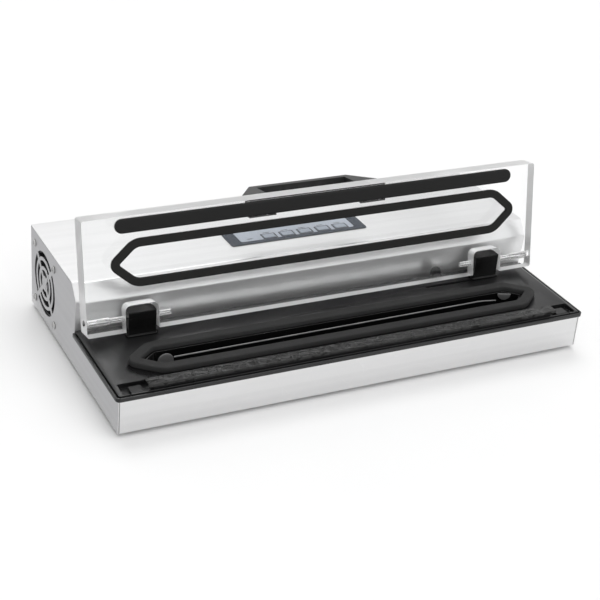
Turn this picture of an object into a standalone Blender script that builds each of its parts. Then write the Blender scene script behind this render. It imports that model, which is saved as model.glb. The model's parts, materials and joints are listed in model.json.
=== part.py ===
"""Vacuum sealer with a clear hinged lid: a steel case, a deck, the sealing parts and the workings.

X runs along the front edge, Y from the front to the back, and Z is up.
The object stands on its feet at Z = 0.
"""
import math

import bmesh
import bpy
from mathutils import Matrix, Vector

# ---------------------------------------------------------------- overall sizes
WIDTH = 0.480
DECK_DEPTH = 0.1172
HOUSING_DEPTH = 0.134
DEPTH = DECK_DEPTH + HOUSING_DEPTH
HOUSING_HEIGHT = 0.0843
FOOT_HEIGHT = 0.004
STEEL_FRONT_HEIGHT = 0.0328
SHEET = 0.0012
GAP = 0.0003
WELD = 0.000001
HALF_WIDTH = WIDTH / 2
FRONT_Y = -DEPTH / 2
BACK_Y = DEPTH / 2
BASE_Z = FOOT_HEIGHT
STEEL_FRONT_TOP_Z = BASE_Z + STEEL_FRONT_HEIGHT
HOUSING_TOP_Z = BASE_Z + HOUSING_HEIGHT

# ---------------------------------------------------------------- housing profile
HOUSING_WALL_Y = FRONT_Y + DECK_DEPTH
WALL_LEAN = 0.003
CHAMFER_RUN = 0.0116
CHAMFER_DROP = 0.0148
CHAMFER_FRONT_Y = HOUSING_WALL_Y - WALL_LEAN
CHAMFER_FRONT_Z = HOUSING_TOP_Z - CHAMFER_DROP
CHAMFER_BACK_Y = CHAMFER_FRONT_Y + CHAMFER_RUN

# ---------------------------------------------------------------- deck
RIM_OVERHANG = 0.0021
RIM_WIDTH = 0.0017
RIM_HEIGHT = 0.0036
RIM_GROOVE = 0.0014
RIM_GROOVE_FLOOR = 0.0012
DECK_EDGE_HEIGHT = 0.0044
DECK_FIELD_HEIGHT = 0.0058
DECK_SLOPE = 0.0050
DECK_CORNER_RADIUS = 0.004
DECK_BACK_CORNER = 0.0005
RIM_INNER_RADIUS = 0.0025
DECK_BODY_RADIUS = 0.002
FRONT_RETURN = 0.006
DECK_STEP_DEPTH = 0.0032
DECK_BOTTOM_Z = STEEL_FRONT_TOP_Z + GAP
DECK_EDGE_Z = STEEL_FRONT_TOP_Z + DECK_EDGE_HEIGHT
DECK_FIELD_Z = STEEL_FRONT_TOP_Z + DECK_FIELD_HEIGHT
DECK_BACK_Y = HOUSING_WALL_Y - GAP
SLOT_LENGTH = 0.054
SLOT_WIDTH = 0.0035
SLOT_DEPTH = 0.003
SLOT_INSET = 0.097
SLOT_Y = FRONT_Y + 0.0912

# ---------------------------------------------------------------- lid and hinge
LID_SIDE_MARGIN = 0.0023
LID_THICKNESS = 0.0179
LID_LENGTH = 0.1082
LID_LEAN = math.radians(10.8)
LID_AXIS_UP = 0.0116
LID_CLOSED_ANGLE = math.pi / 2 + LID_LEAN
LID_AXIS_CLEARANCE = 0.0169
LID_HALF_WIDTH = HALF_WIDTH - LID_SIDE_MARGIN
LID_SWING = math.hypot(LID_AXIS_UP, LID_THICKNESS / 2)
LID_SWING_MARGIN = 0.0041
AXIS_Y = HOUSING_WALL_Y - LID_SWING - LID_SWING_MARGIN
AXIS_Z = DECK_FIELD_Z + LID_AXIS_CLEARANCE
POST_INSET = 0.0551
POST_WIDTH = 0.027
POST_FRONT = 0.0084
POST_RISE = 0.0083
POST_TOP_DEPTH = 0.0124
POST_CORNER = 0.0035
POST_BACK_DROP = 0.006
POST_FLANGE = 0.0014
POST_FLANGE_HEIGHT = 0.0016
POST_EDGE = 0.0008
POST_FLANGE_CORNER = 0.001
POST_CORNER_SLANT = 2.4
NOTCH_CLEARANCE = 0.0026
NOTCH_END_CLEARANCE = 0.0017
NOTCH_RADIUS = 0.0055
POST_SWING = math.hypot(POST_FRONT, POST_RISE)
NOTCH_HALF = POST_WIDTH / 2 + NOTCH_CLEARANCE
NOTCH_END = POST_SWING + NOTCH_END_CLEARANCE
PIN_RADIUS = 0.0024
PIN_HEAD_RADIUS = 0.0033
PIN_HEAD_LENGTH = 0.020
PIN_RECESS = 0.002
PIN_TIP = 0.0125
PIN_SLOPE = 0.0008
LID_CORNER = 0.002
NOTCH_MOUTH_RADIUS = 0.0005
BORE_CLEARANCE = 0.0003

# ---------------------------------------------------------------- sealing parts
SEAL_CENTRE_Y = FRONT_Y + 0.0455
LOWER_GASKET_HALF_LENGTH_INSET = 0.0215
LOWER_GASKET_HALF_WIDTH = 0.024
LOWER_GASKET_BAND = 0.010
LOWER_GASKET_RISE = 0.0056
LOWER_GASKET_GROOVE = 0.001
LOWER_GASKET_EDGE = 0.0008
LID_GASKET_EDGE = 0.0006
PAD_EDGE = 0.0010
HEX_SLOPE = math.radians(40.9)
SEAL_TIP_RADIUS = 0.009
SEAL_SHOULDER_RADIUS = 0.020
SEAL_LEAST_RADIUS = 0.0015
LID_GASKET_HALF_LENGTH_INSET = 0.0225
LID_GASKET_HALF_WIDTH = 0.0225
LID_GASKET_BAND = 0.008
LID_GROOVE_DEPTH = 0.0015
PAD_HALF_LENGTH_INSET = 0.0322
PAD_WIDTH = 0.0132
PAD_FROM_EDGE = 0.0083
PAD_PRESS_GAP = 0.0003
WELD = 0.000001
BAR_RECESS_END_INSET = 0.005
BAR_RECESS_FRONT = 0.0023
BAR_RECESS_WIDTH = 0.0157
BAR_RECESS_DEPTH = 0.0046
BAR_RECESS_CORNER = 0.001
BAR_EDGE = 0.0004
CLAMP_LENGTH = 0.012
CLAMP_CLEARANCE = 0.003
CLAMP_DROP = 0.001
CLAMP_CORNER = 0.001
BAR_END_INSET = 0.033
BAR_WIDTH = 0.0106
BAR_FRONT_GAP = 0.0006
BAR_RISE = 0.0030
WALL_SLIT_X = 0.228
WALL_SLIT = 0.001
BAND_WIDTH = 0.005
BAND_THICKNESS = 0.0003
TAPE_THICKNESS = 0.0003
TAPE_SKIRT = 0.0026
TAPE_GAP = 0.00015
TAPE_OVERRUN = 0.005

# ---------------------------------------------------------------- trough and tray
TRAY_LEDGE = 0.0016
TRAY_CLEARANCE = 0.0004
TRAY_LIP_THICKNESS = 0.0011
TRAY_WALL = 0.0010
TRAY_DEPTH = 0.018
TRAY_TAPER = 0.0006
PAN_WALL = 0.0015
PAN_CLEARANCE = 0.0012
PORT_RISE = 0.0006
PORT_DROP = 0.0030
PORT_SHOULDER = 1.8
PORT_SHARE = 0.42
PORT_OFFSET_Y = 0.002
TAB_RADIUS = 0.0077
TAB_THICKNESS = 0.0016
TAB_LEFT_INSET = 0.0605
TAB_LEFT_RISE = 0.0049
TAB_RIGHT_RADIUS = 0.0068
WIRE_RADIUS = 0.0008
WIRE_RISE = 0.0018
WIRE_END_DROP = 0.004
WIRE_END_SWING = 0.003
WIRE_BEND_LENGTH = 0.022
WIRE_END_INSET = 0.068

# ---------------------------------------------------------------- handle on the lid
HANDLE_FOOT_HALF = 0.072
HANDLE_BAR_HALF = 0.0524
HANDLE_RISER = 0.010
HANDLE_STANDOFF = 0.038
HANDLE_BAR_THICKNESS = 0.007
HANDLE_ARM = 0.005
HANDLE_FOOT_WIDTH = 0.0275
HANDLE_HEIGHT = 0.018
HANDLE_FROM_EDGE = 0.0027
HANDLE_EDGE = 0.0009
HANDLE_SCREW_X = 0.059
SCREW_RADIUS = 0.0019
SCREW_HEAD_RADIUS = 0.0038
SCREW_HEAD_DEPTH = 0.0036
SCREW_DEPTH_IN_FOOT = 0.007
SCREW_CLEARANCE = 0.0003
STRIKER_X = 0.132
STRIKER_WIDTH = 0.011
STRIKER_HEIGHT = 0.0105
STRIKER_THICKNESS = 0.0026
STRIKER_FLANGE = 0.0012
STRIKER_FLANGE_HEIGHT = 0.002
STRIKER_UP = 0.001
SWITCH_WIDTH = 0.020
SWITCH_DEPTH = 0.010
SWITCH_HEIGHT = 0.009
SWITCH_FROM_WALL = 0.012
SWITCH_EDGE = 0.0006

# ---------------------------------------------------------------- control panel
PANEL_WIDTH = 0.147
PANEL_DEPTH = 0.032
PANEL_Y = HOUSING_WALL_Y + 0.0513
PANEL_RISE = 0.0009
PANEL_CORNER = 0.0025
PANEL_FLANGE = 0.004
OVERLAY_WIDTH = 0.1235
OVERLAY_DEPTH = 0.0215
OVERLAY_THICKNESS = 0.0006
OVERLAY_CORNER = 0.0025
OVERLAY_CLEARANCE = 0.0003
BUTTON_PITCH = 0.0195
BUTTON_ROW_X = 0.009
BUTTON_WIDTH = 0.0122
BUTTON_DEPTH = 0.0076
BUTTON_CORNER = 0.001
BUTTON_OFFSET_Y = -0.0056
BUTTON_RISE = 0.0007
BUTTON_BODY = 0.0030
BUTTON_CLEARANCE = 0.0003
BUTTON_NAMES = ("seal", "vacuum_seal", "pulse", "seal_time", "cancel")
BUTTON_BOARD_THICKNESS = 0.0016
BUTTON_BOARD_DROP = 0.0052
BUTTON_BOARD_SHARE_X = 0.94
BUTTON_BOARD_SHARE_Y = 0.9
BUTTON_EDGE = 0.0003
PANEL_SKIRT_DROP = 0.0008

# ---------------------------------------------------------------- fan and its grille
FAN_MARGIN = 0.0086
FAN_SIZE = HOUSING_HEIGHT - 2 * FAN_MARGIN
FAN_THICKNESS = 0.015
FAN_Y = HOUSING_WALL_Y + 0.0915
FAN_Z = BASE_Z + FAN_SIZE / 2 + 0.0075
FAN_BORE = FAN_SIZE * 0.455
FAN_HUB = FAN_SIZE * 0.19
FAN_BLADE_CLEARANCE = 0.0012
FAN_BLADES = 7
FAN_SCREW_SPACING = FAN_SIZE * 0.888
FAN_SCREW_RADIUS = 0.0017
FAN_SCREW_HEAD = 0.0036
FAN_SCREW_HEAD_HEIGHT = 0.0016
FAN_SCREW_LENGTH = 0.012
FAN_CORNER = 0.003
FAN_BACK = 0.002
ROTOR_FRONT_GAP = 0.0012
ROTOR_BACK_GAP = 0.0032
BLADE_THICKNESS = 0.0011
BLADE_ROOT_SHARE = 0.8
# each blade's chord, as a share of its reach, and its pitch in degrees, at the root, middle and tip
BLADE_SHAPE = ((0.34, 38.0), (0.27, 32.0), (0.22, 26.0))
GRILLE_OUTER = FAN_SIZE * 0.478
GRILLE_SLOT = FAN_SIZE * 0.085
GRILLE_PITCH = FAN_SIZE * 0.138
GRILLE_SPOKE = FAN_SIZE * 0.065
GRILLE_RINGS = 3

# ---------------------------------------------------------------- workings inside
TRANSFORMER_X = -WIDTH * 0.335
TRANSFORMER_Y = HOUSING_WALL_Y + 0.070
CORE_WIDTH = 0.050
CORE_DEPTH = 0.056
CORE_HEIGHT = 0.046
CORE_WINDOW = 0.011
CORE_LEG = 0.016
COIL_CLEARANCE = 0.0006
COIL_BULGE = 0.010
CORE_SIDE = 0.007
COIL_CORNER = 0.003
COIL_INNER_CORNER = 0.0005
BOARD_X = -WIDTH * 0.135
BOARD_Y = HOUSING_WALL_Y + 0.075
BOARD_WIDTH = 0.092
BOARD_DEPTH = 0.070
BOARD_THICKNESS = 0.0016
STANDOFF = 0.008
STANDOFF_RADIUS = 0.003
STANDOFF_INSET = 0.006
# each component's place on the board, across and along, then its width, depth and height
COMPONENTS = ((-0.028, 0.014, 0.018, 0.016, 0.014), (-0.004, 0.016, 0.015, 0.019, 0.016),
              (0.022, 0.012, 0.024, 0.014, 0.008), (-0.020, -0.018, 0.030, 0.008, 0.010),
              (0.020, -0.016, 0.018, 0.018, 0.003))
VALVE_X = WIDTH * 0.06
VALVE_Y = HOUSING_WALL_Y + 0.060
VALVE_SIZE = 0.024
VALVE_HEIGHT = 0.034
VALVE_EDGE = 0.001
PUMP_HEAD_EDGE = 0.002
PUMP_X = WIDTH * 0.27
PUMP_Y = HOUSING_WALL_Y + 0.075
MOTOR_RADIUS = 0.023
MOTOR_LENGTH = 0.060
CRADLE_INSET = 0.010
CRADLE_HALF = 0.018
MOTOR_BEARING = 0.010
HEAD_BEARING = 0.008
SHAFT_PLAY = 0.001
DISC_CLEARANCE = 0.004
PUMP_AXIS_Z = BASE_Z + 0.034
PUMP_HEAD_LENGTH = 0.034
PUMP_HEAD_DEPTH = 0.052
PUMP_HEAD_HEIGHT = 0.056
CRANK_ROOM = 0.016
CRANK_RADIUS = 0.015
CRANK_THROW = 0.004
SHAFT_RADIUS = 0.0025
HOSE_RADIUS = 0.0035
BARB_RADIUS = 0.0028
HOSE_LEAD = (0.020, 0.004)
HOSE_BEND = (0.045, 0.020)
HOSE_RISE = 0.012
HOSE_TURN = 0.010

# ---------------------------------------------------------------- back panel fittings
INLET_X = -WIDTH * 0.36
INLET_WIDTH = 0.0275
INLET_HEIGHT = 0.0200
INLET_DEPTH = 0.016
BLADE_RECESS = 0.005
INLET_LIP = 0.002
INLET_CORNER = 0.002
FACEPLATE = 0.0012
MOUTH_HALF = 0.0095
MOUTH_LOW = 0.0070
MOUTH_SHOULDER = 0.0020
MOUTH_TOP_HALF = 0.0050
MOUTH_TOP = 0.0065
MOUTH_FLOOR = 0.003
BLADE_WIDTH = 0.0016
BLADE_HEIGHT = 0.0036
# each contact's place across the inlet and above its middle
BLADES = ((-0.0055, -0.0015), (0.0, 0.0020), (0.0055, -0.0015))
ROCKER_X = -WIDTH * 0.26
ROCKER_WIDTH = 0.013
ROCKER_HEIGHT = 0.019
ROCKER_ANGLE = math.radians(10.0)
ROCKER_LIP = 0.0018
ROCKER_WALL = 0.0016
ROCKER_CORNER = 0.0015
ROCKER_DEPTH = 0.016
ROCKER_FLOOR = 0.003
ROCKER_AXIS_DEPTH = 0.0065
ROCKER_CLEARANCE = 0.0009
ROCKER_SIDE_CLEARANCE = 0.0004
ROCKER_RISE = 0.0060
ROCKER_CREST = 0.0084
ROCKER_HEEL = 0.0015
ROCKER_HEEL_SHARE = 0.35
ROCKER_EDGE = 0.0005
BACK_FITTING_Z = BASE_Z + 0.030
VENT_SLOTS = 12
VENT_X = WIDTH * 0.20
VENT_PITCH = 0.0075
VENT_WIDTH = 0.003
VENT_HEIGHT = 0.026

# ---------------------------------------------------------------- feet
FOOT_RADIUS = 0.009
FOOT_INSET = 0.028
FOOT_PLUG = 0.0035
FOOT_PLUG_DEPTH = 0.004
FOOT_RIM = 0.0006

PIECES = "vacuum_sealer"
CUTTERS = "cutters"


def clear_scene():
    """Empty the scene of every object."""
    for thing in list(bpy.data.objects):
        bpy.data.objects.remove(thing, do_unlink=True)


def make_collection(name, hidden=False):
    """Return a new collection linked to the scene."""
    group = bpy.data.collections.new(name)
    bpy.context.scene.collection.children.link(group)
    group.hide_render = hidden
    return group


def material(name, colour, roughness, metallic=0.0, transmission=0.0):
    """Return a Principled material."""
    made = bpy.data.materials.new(name)
    made.use_nodes = True
    shader = made.node_tree.nodes["Principled BSDF"]
    shader.inputs["Base Color"].default_value = (*colour, 1.0)
    shader.inputs["Roughness"].default_value = roughness
    shader.inputs["Metallic"].default_value = metallic
    shader.inputs["Transmission Weight"].default_value = transmission
    return made


def add_object(name, mesh_data, group, finish=None):
    """Link a mesh built in a bmesh as a named object."""
    bmesh.ops.recalc_face_normals(mesh_data, faces=mesh_data.faces)
    mesh = bpy.data.meshes.new(name)
    mesh_data.to_mesh(mesh)
    mesh_data.free()
    made = bpy.data.objects.new(name, mesh)
    group.objects.link(made)
    if finish is not None:
        mesh.materials.append(finish)
    return made


def frame_for(axis):
    """Return the matrix that turns a shape drawn in XY and extruded in Z onto the given axis."""
    if axis == "X":
        return Matrix(((0, 0, 1, 0), (1, 0, 0, 0), (0, 1, 0, 0), (0, 0, 0, 1)))
    if axis == "Y":
        return Matrix(((1, 0, 0, 0), (0, 0, 1, 0), (0, 1, 0, 0), (0, 0, 0, 1)))
    return Matrix.Identity(4)


def extrude(shape, faces, move):
    """Extrude faces by a distance, keeping the ones they start from."""
    grown = bmesh.ops.extrude_face_region(shape, geom=faces, use_keep_orig=True)
    moved = [part for part in grown["geom"] if isinstance(part, bmesh.types.BMVert)]
    bmesh.ops.translate(shape, verts=moved, vec=move)


def add_prism(shape, outline, low, high, axis="Z", top_scale=1.0):
    """Add a closed prism: the outline lies in YZ for axis X, XZ for axis Y and XY for axis Z."""
    turn = frame_for(axis)
    centre = sum((Vector((x, y, 0.0)) for x, y in outline), Vector()) / len(outline)
    bottom = [shape.verts.new(turn @ Vector((x, y, low))) for x, y in outline]
    top = []
    for x, y in outline:
        moved = centre + (Vector((x, y, 0.0)) - centre) * top_scale
        top.append(shape.verts.new(turn @ Vector((moved.x, moved.y, high))))
    count = len(outline)
    shape.faces.new(bottom)
    shape.faces.new(top)
    for index in range(count):
        after = (index + 1) % count
        shape.faces.new((bottom[index], bottom[after], top[after], top[index]))
    return bottom + top


def add_ring(shape, outer, inner, low, high):
    """Add a flat ring with matching outer and inner outlines."""
    levels = []
    for height in (low, high):
        levels.append([shape.verts.new((x, y, height)) for x, y in outer])
        levels.append([shape.verts.new((x, y, height)) for x, y in inner])
    outer_low, inner_low, outer_high, inner_high = levels
    count = len(outer)
    for index in range(count):
        after = (index + 1) % count
        shape.faces.new((outer_low[index], outer_low[after], outer_high[after], outer_high[index]))
        shape.faces.new((inner_low[index], inner_low[after], inner_high[after], inner_high[index]))
        shape.faces.new((outer_high[index], outer_high[after], inner_high[after], inner_high[index]))
        shape.faces.new((outer_low[index], outer_low[after], inner_low[after], inner_low[index]))


def rectangle(low_x, high_x, low_y, high_y):
    """Return the four corners of a rectangle."""
    return [(low_x, low_y), (high_x, low_y), (high_x, high_y), (low_x, high_y)]


def circle(centre_x, centre_y, radius, steps=24, start=0.0):
    """Return the points of a circle."""
    points = []
    for index in range(steps):
        turn = start + 2 * math.pi * index / steps
        points.append((centre_x + radius * math.cos(turn), centre_y + radius * math.sin(turn)))
    return points


def rounded(corners, radii, steps=4):
    """Return a closed outline whose corners are rounded, with one radius for all or one for each."""
    if not isinstance(radii, (list, tuple)):
        radii = [radii] * len(corners)
    points = []
    count = len(corners)
    for index, radius in enumerate(radii):
        corner = Vector(corners[index])
        back = (Vector(corners[index - 1]) - corner).normalized()
        ahead = (Vector(corners[(index + 1) % count]) - corner).normalized()
        half = back.angle(ahead) / 2
        reach = radius / math.tan(half)
        start = corner + back * reach
        end = corner + ahead * reach
        centre = corner + (back + ahead).normalized() * (radius / math.sin(half))
        for step in range(steps + 1):
            blend = step / steps
            sweep = (start - centre).angle_signed(end - centre) if radius else 0.0
            spoke = start - centre
            turned = Vector((spoke.x * math.cos(-sweep * blend) - spoke.y * math.sin(-sweep * blend),
                             spoke.x * math.sin(-sweep * blend) + spoke.y * math.cos(-sweep * blend)))
            points.append(tuple(centre + turned))
    return points


def half_circle(centre_x, centre_y, radius, start, steps):
    """Return the points of a half circle, turning from the start angle."""
    points = []
    for step in range(steps + 1):
        turn = start + math.pi * step / steps
        points.append((centre_x + radius * math.cos(turn), centre_y + radius * math.sin(turn)))
    return points


def rounded_box(low_x, high_x, low_y, high_y, radius, steps=4):
    """Return a rectangle with rounded corners."""
    return rounded(rectangle(low_x, high_x, low_y, high_y), radius, steps)


def hexagon(half_length, half_width, centre_y, slope=HEX_SLOPE):
    """Return a long hexagon, pointed at both ends, with its length along X."""
    run = half_width / math.tan(slope)
    return [(-half_length, centre_y), (-half_length + run, centre_y - half_width),
            (half_length - run, centre_y - half_width), (half_length, centre_y),
            (half_length - run, centre_y + half_width), (-half_length + run, centre_y + half_width)]


def seal_outline(half_length, half_width, centre_y, inset, steps=5):
    """Return the rounded hexagon a given distance inside the outer one."""
    length = half_length - inset / math.sin(HEX_SLOPE)
    width = half_width - inset
    tip = max(SEAL_TIP_RADIUS - inset, SEAL_LEAST_RADIUS)
    shoulder = max(SEAL_SHOULDER_RADIUS - inset, SEAL_LEAST_RADIUS)
    return rounded(hexagon(length, width, centre_y), [tip, shoulder, shoulder, tip, shoulder, shoulder],
                   steps)


def cut(target, cutter):
    """Subtract a cutter from a target."""
    cutter.display_type = "WIRE"
    cutter.hide_render = True
    change = target.modifiers.new("cut_" + cutter.name, "BOOLEAN")
    change.operation = "DIFFERENCE"
    change.solver = "EXACT"
    change.object = cutter


def join(target, other):
    """Join another closed body to a target."""
    other.display_type = "WIRE"
    other.hide_render = True
    change = target.modifiers.new("join_" + other.name, "BOOLEAN")
    change.operation = "UNION"
    change.solver = "EXACT"
    change.object = other


def soften(target, width, segments=2, angle=35.0):
    """Round a body's sharp edges."""
    change = target.modifiers.new("edges", "BEVEL")
    change.width = width
    change.segments = segments
    change.limit_method = "ANGLE"
    change.angle_limit = math.radians(angle)


def set_origin(target, point):
    """Move an object's origin to a point and leave its shape where it is."""
    target.data.transform(Matrix.Translation(-Vector(point)))
    target.location = point


def lid_point(across, up, behind):
    """Return a point on the open lid, by its height up the lid and its depth behind the underside."""
    along = up - LID_AXIS_UP
    depth = behind - LID_THICKNESS / 2
    y = AXIS_Y + along * math.sin(LID_LEAN) + depth * math.cos(LID_LEAN)
    z = AXIS_Z + along * math.cos(LID_LEAN) - depth * math.sin(LID_LEAN)
    return Vector((across, y, z))


def lid_matrix():
    """Return the matrix from the lid's own frame, X across, Y up the lid and Z out of its underside."""
    origin = lid_point(0.0, 0.0, 0.0)
    up = lid_point(0.0, 1.0, 0.0) - origin
    out = origin - lid_point(0.0, 0.0, 1.0)
    turn = Matrix.Identity(4)
    for row in range(3):
        turn[row][0] = (1.0, 0.0, 0.0)[row]
        turn[row][1] = up[row]
        turn[row][2] = out[row]
        turn[row][3] = origin[row]
    return turn


class Builder:
    """Holds the collections and finishes, and makes each piece of the sealer."""

    def __init__(self):
        self.pieces = make_collection(PIECES)
        self.cutters = make_collection(CUTTERS, hidden=True)
        self.steel = material("brushed_steel", (0.62, 0.62, 0.63), 0.30, 1.0)
        self.black = material("deck_plastic", (0.025, 0.025, 0.028), 0.40)
        self.rubber = material("gasket_rubber", (0.03, 0.03, 0.03), 0.75)
        self.acrylic = material("lid_acrylic", (0.95, 0.97, 0.97), 0.03, 0.0, 1.0)
        self.slate = material("panel_slate", (0.07, 0.10, 0.15), 0.45)
        self.overlay = material("panel_overlay", (0.45, 0.50, 0.57), 0.35)
        self.grey = material("grey_plastic", (0.20, 0.20, 0.21), 0.50)
        self.bright = material("bright_metal", (0.70, 0.70, 0.72), 0.20, 1.0)
        self.copper = material("coil_copper", (0.55, 0.25, 0.12), 0.40, 1.0)
        self.board = material("board_green", (0.03, 0.15, 0.07), 0.50)
        self.tape = material("seal_tape", (0.05, 0.04, 0.035), 0.45)

    def prism(self, name, outline, low, high, axis, finish):
        """Make a piece that is one prism."""
        shape = bmesh.new()
        add_prism(shape, outline, low, high, axis)
        return add_object(name, shape, self.pieces, finish)

    def cutter(self, name, outline, low, high, axis="Z"):
        """Make a hidden cutting prism."""
        shape = bmesh.new()
        add_prism(shape, outline, low, high, axis)
        return add_object(name, shape, self.cutters)

    # ------------------------------------------------------------ steel case
    def base_plate(self):
        """Make the floor of the case, with holes for the feet."""
        edge_x = HALF_WIDTH - SHEET - GAP
        front = FRONT_Y + SHEET + GAP
        back = BACK_Y - SHEET - GAP
        plate = self.prism("base_plate", rectangle(-edge_x, edge_x, front, back), BASE_Z, BASE_Z + SHEET,
                           "Z", self.steel)
        for name, x, y in self.foot_places():
            hole = circle(x, y, FOOT_PLUG + GAP, 16)
            cut(plate, self.cutter("hole_" + name, hole, BASE_Z - SHEET, BASE_Z + 2 * SHEET))

    def foot_places(self):
        """Return each foot's name and place."""
        near = FRONT_Y + FOOT_INSET
        far = BACK_Y - FOOT_INSET
        side = HALF_WIDTH - FOOT_INSET
        return [("foot_front_left", -side, near), ("foot_front_right", side, near),
                ("foot_back_left", -side, far), ("foot_back_right", side, far)]

    def feet(self):
        """Make four rubber feet whose plugs pass through the floor."""
        for name, x, y in self.foot_places():
            shape = bmesh.new()
            rim = FOOT_RIM
            profile = [(0.0, 0.0), (FOOT_RADIUS - rim, 0.0), (FOOT_RADIUS, rim),
                       (FOOT_RADIUS - rim / 2, FOOT_HEIGHT - GAP), (FOOT_PLUG, FOOT_HEIGHT - GAP),
                       (FOOT_PLUG, FOOT_HEIGHT + FOOT_PLUG_DEPTH), (0.0, FOOT_HEIGHT + FOOT_PLUG_DEPTH)]
            add_turned(shape, profile, (x, y, 0.0), "Z", 20)
            add_object(name, shape, self.pieces, self.rubber)

    def cover_profile(self):
        """Return the outer profile of the cover in YZ, from the deck up and over to the back."""
        return [(HOUSING_WALL_Y, DECK_BOTTOM_Z), (HOUSING_WALL_Y, DECK_FIELD_Z), (CHAMFER_FRONT_Y,
                                                                                  CHAMFER_FRONT_Z),
                (CHAMFER_BACK_Y, HOUSING_TOP_Z), (BACK_Y, HOUSING_TOP_Z)]

    def side_outline(self):
        """Return a side panel's profile in YZ, which stops just under the cover."""
        under = offset_path(self.cover_profile(), -(SHEET + GAP))
        foot = (under[0][0], STEEL_FRONT_TOP_Z)
        return [(FRONT_Y, BASE_Z), (BACK_Y, BASE_Z)] + list(reversed(under[1:])) + [foot, (FRONT_Y,
                                                                                           STEEL_FRONT_TOP_Z)]

    def side_panels(self):
        """Make both side panels, with the fan grille in the left one."""
        outline = self.side_outline()
        for name, side in (("side_panel_left", -1), ("side_panel_right", 1)):
            outer = side * HALF_WIDTH
            inner = side * (HALF_WIDTH - SHEET)
            panel = self.prism(name, outline, min(outer, inner), max(outer, inner), "X", self.steel)
            if side < 0:
                self.cut_grille(panel)

    def cut_grille(self, panel):
        """Cut three rings of curved slots and four screw holes in a side panel."""
        low = -HALF_WIDTH - SHEET
        high = -HALF_WIDTH + 2 * SHEET
        shape = bmesh.new()
        for ring in range(GRILLE_RINGS):
            outer = GRILLE_OUTER - ring * GRILLE_PITCH
            inner = outer - GRILLE_SLOT
            for quarter in range(4):
                add_prism(shape, arc_slot(FAN_Y, FAN_Z, outer, inner, quarter, GRILLE_SPOKE, 8 - 2 * ring),
                          low, high, "X")
        for y, z in self.fan_screw_places():
            add_prism(shape, circle(y, z, FAN_SCREW_RADIUS + GAP, 16), low, high, "X")
        cut(panel, add_object("grille_slots", shape, self.cutters))

    def fan_screw_places(self):
        """Return the four fan screws' places in YZ."""
        half = FAN_SCREW_SPACING / 2
        return [(FAN_Y + side_y * half, FAN_Z + side_z * half) for side_y in (-1, 1) for side_z in (-1, 1)]

    def front_panel(self):
        """Make the front sheet with a return along its top and bottom."""
        inner = HALF_WIDTH - SHEET - GAP
        front = FRONT_Y
        top = STEEL_FRONT_TOP_Z
        lip = 0.006
        low = BASE_Z
        outline = [(front, low), (front + SHEET, low), (front + SHEET, top - SHEET),
                   (front + lip, top - SHEET), (front + lip, top), (front, top)]
        self.prism("front_panel", outline, -inner, inner, "X", self.steel)

    def top_cover(self):
        """Make the folded cover: front wall, chamfer, top and the opening for the control panel."""
        outer = self.cover_profile()
        inner = offset_path(outer, -SHEET)
        outline = outer + list(reversed(inner))
        cover = self.prism("top_cover", outline, -HALF_WIDTH, HALF_WIDTH, "X", self.steel)
        half_x = PANEL_WIDTH / 2 - PANEL_FLANGE
        half_y = PANEL_DEPTH / 2 - PANEL_FLANGE
        hole = rounded_box(-half_x, half_x, PANEL_Y - half_y, PANEL_Y + half_y, PANEL_CORNER)
        cut(cover, self.cutter("panel_opening", hole, HOUSING_TOP_Z - 3 * SHEET, HOUSING_TOP_Z + SHEET))

    def rear_panel(self):
        """Make the back sheet with its vents and the openings for the inlet and the switch."""
        inner = HALF_WIDTH - SHEET - GAP
        top = HOUSING_TOP_Z - SHEET - GAP
        panel = self.prism("rear_panel", rectangle(-inner, inner, BASE_Z, top), BACK_Y - SHEET, BACK_Y, "Y",
                           self.steel)
        shape = bmesh.new()
        low = BACK_Y - 2 * SHEET
        high = BACK_Y + SHEET
        start = VENT_X - VENT_PITCH * (VENT_SLOTS - 1) / 2
        middle = BASE_Z + HOUSING_HEIGHT / 2
        for index in range(VENT_SLOTS):
            x = start + index * VENT_PITCH
            slot = rounded_box(x - VENT_WIDTH / 2, x + VENT_WIDTH / 2, middle - VENT_HEIGHT / 2,
                               middle + VENT_HEIGHT / 2, VENT_WIDTH * 0.49, 3)
            add_prism(shape, slot, low, high, "Y")
        for x, width, height in ((INLET_X, INLET_WIDTH, INLET_HEIGHT), (ROCKER_X, ROCKER_WIDTH,
                                                                        ROCKER_HEIGHT)):
            hole = rectangle(x - width / 2 - GAP, x + width / 2 + GAP,
                             BACK_FITTING_Z - height / 2 - GAP, BACK_FITTING_Z + height / 2 + GAP)
            add_prism(shape, hole, low, high, "Y")
        cut(panel, add_object("rear_openings", shape, self.cutters))

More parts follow.
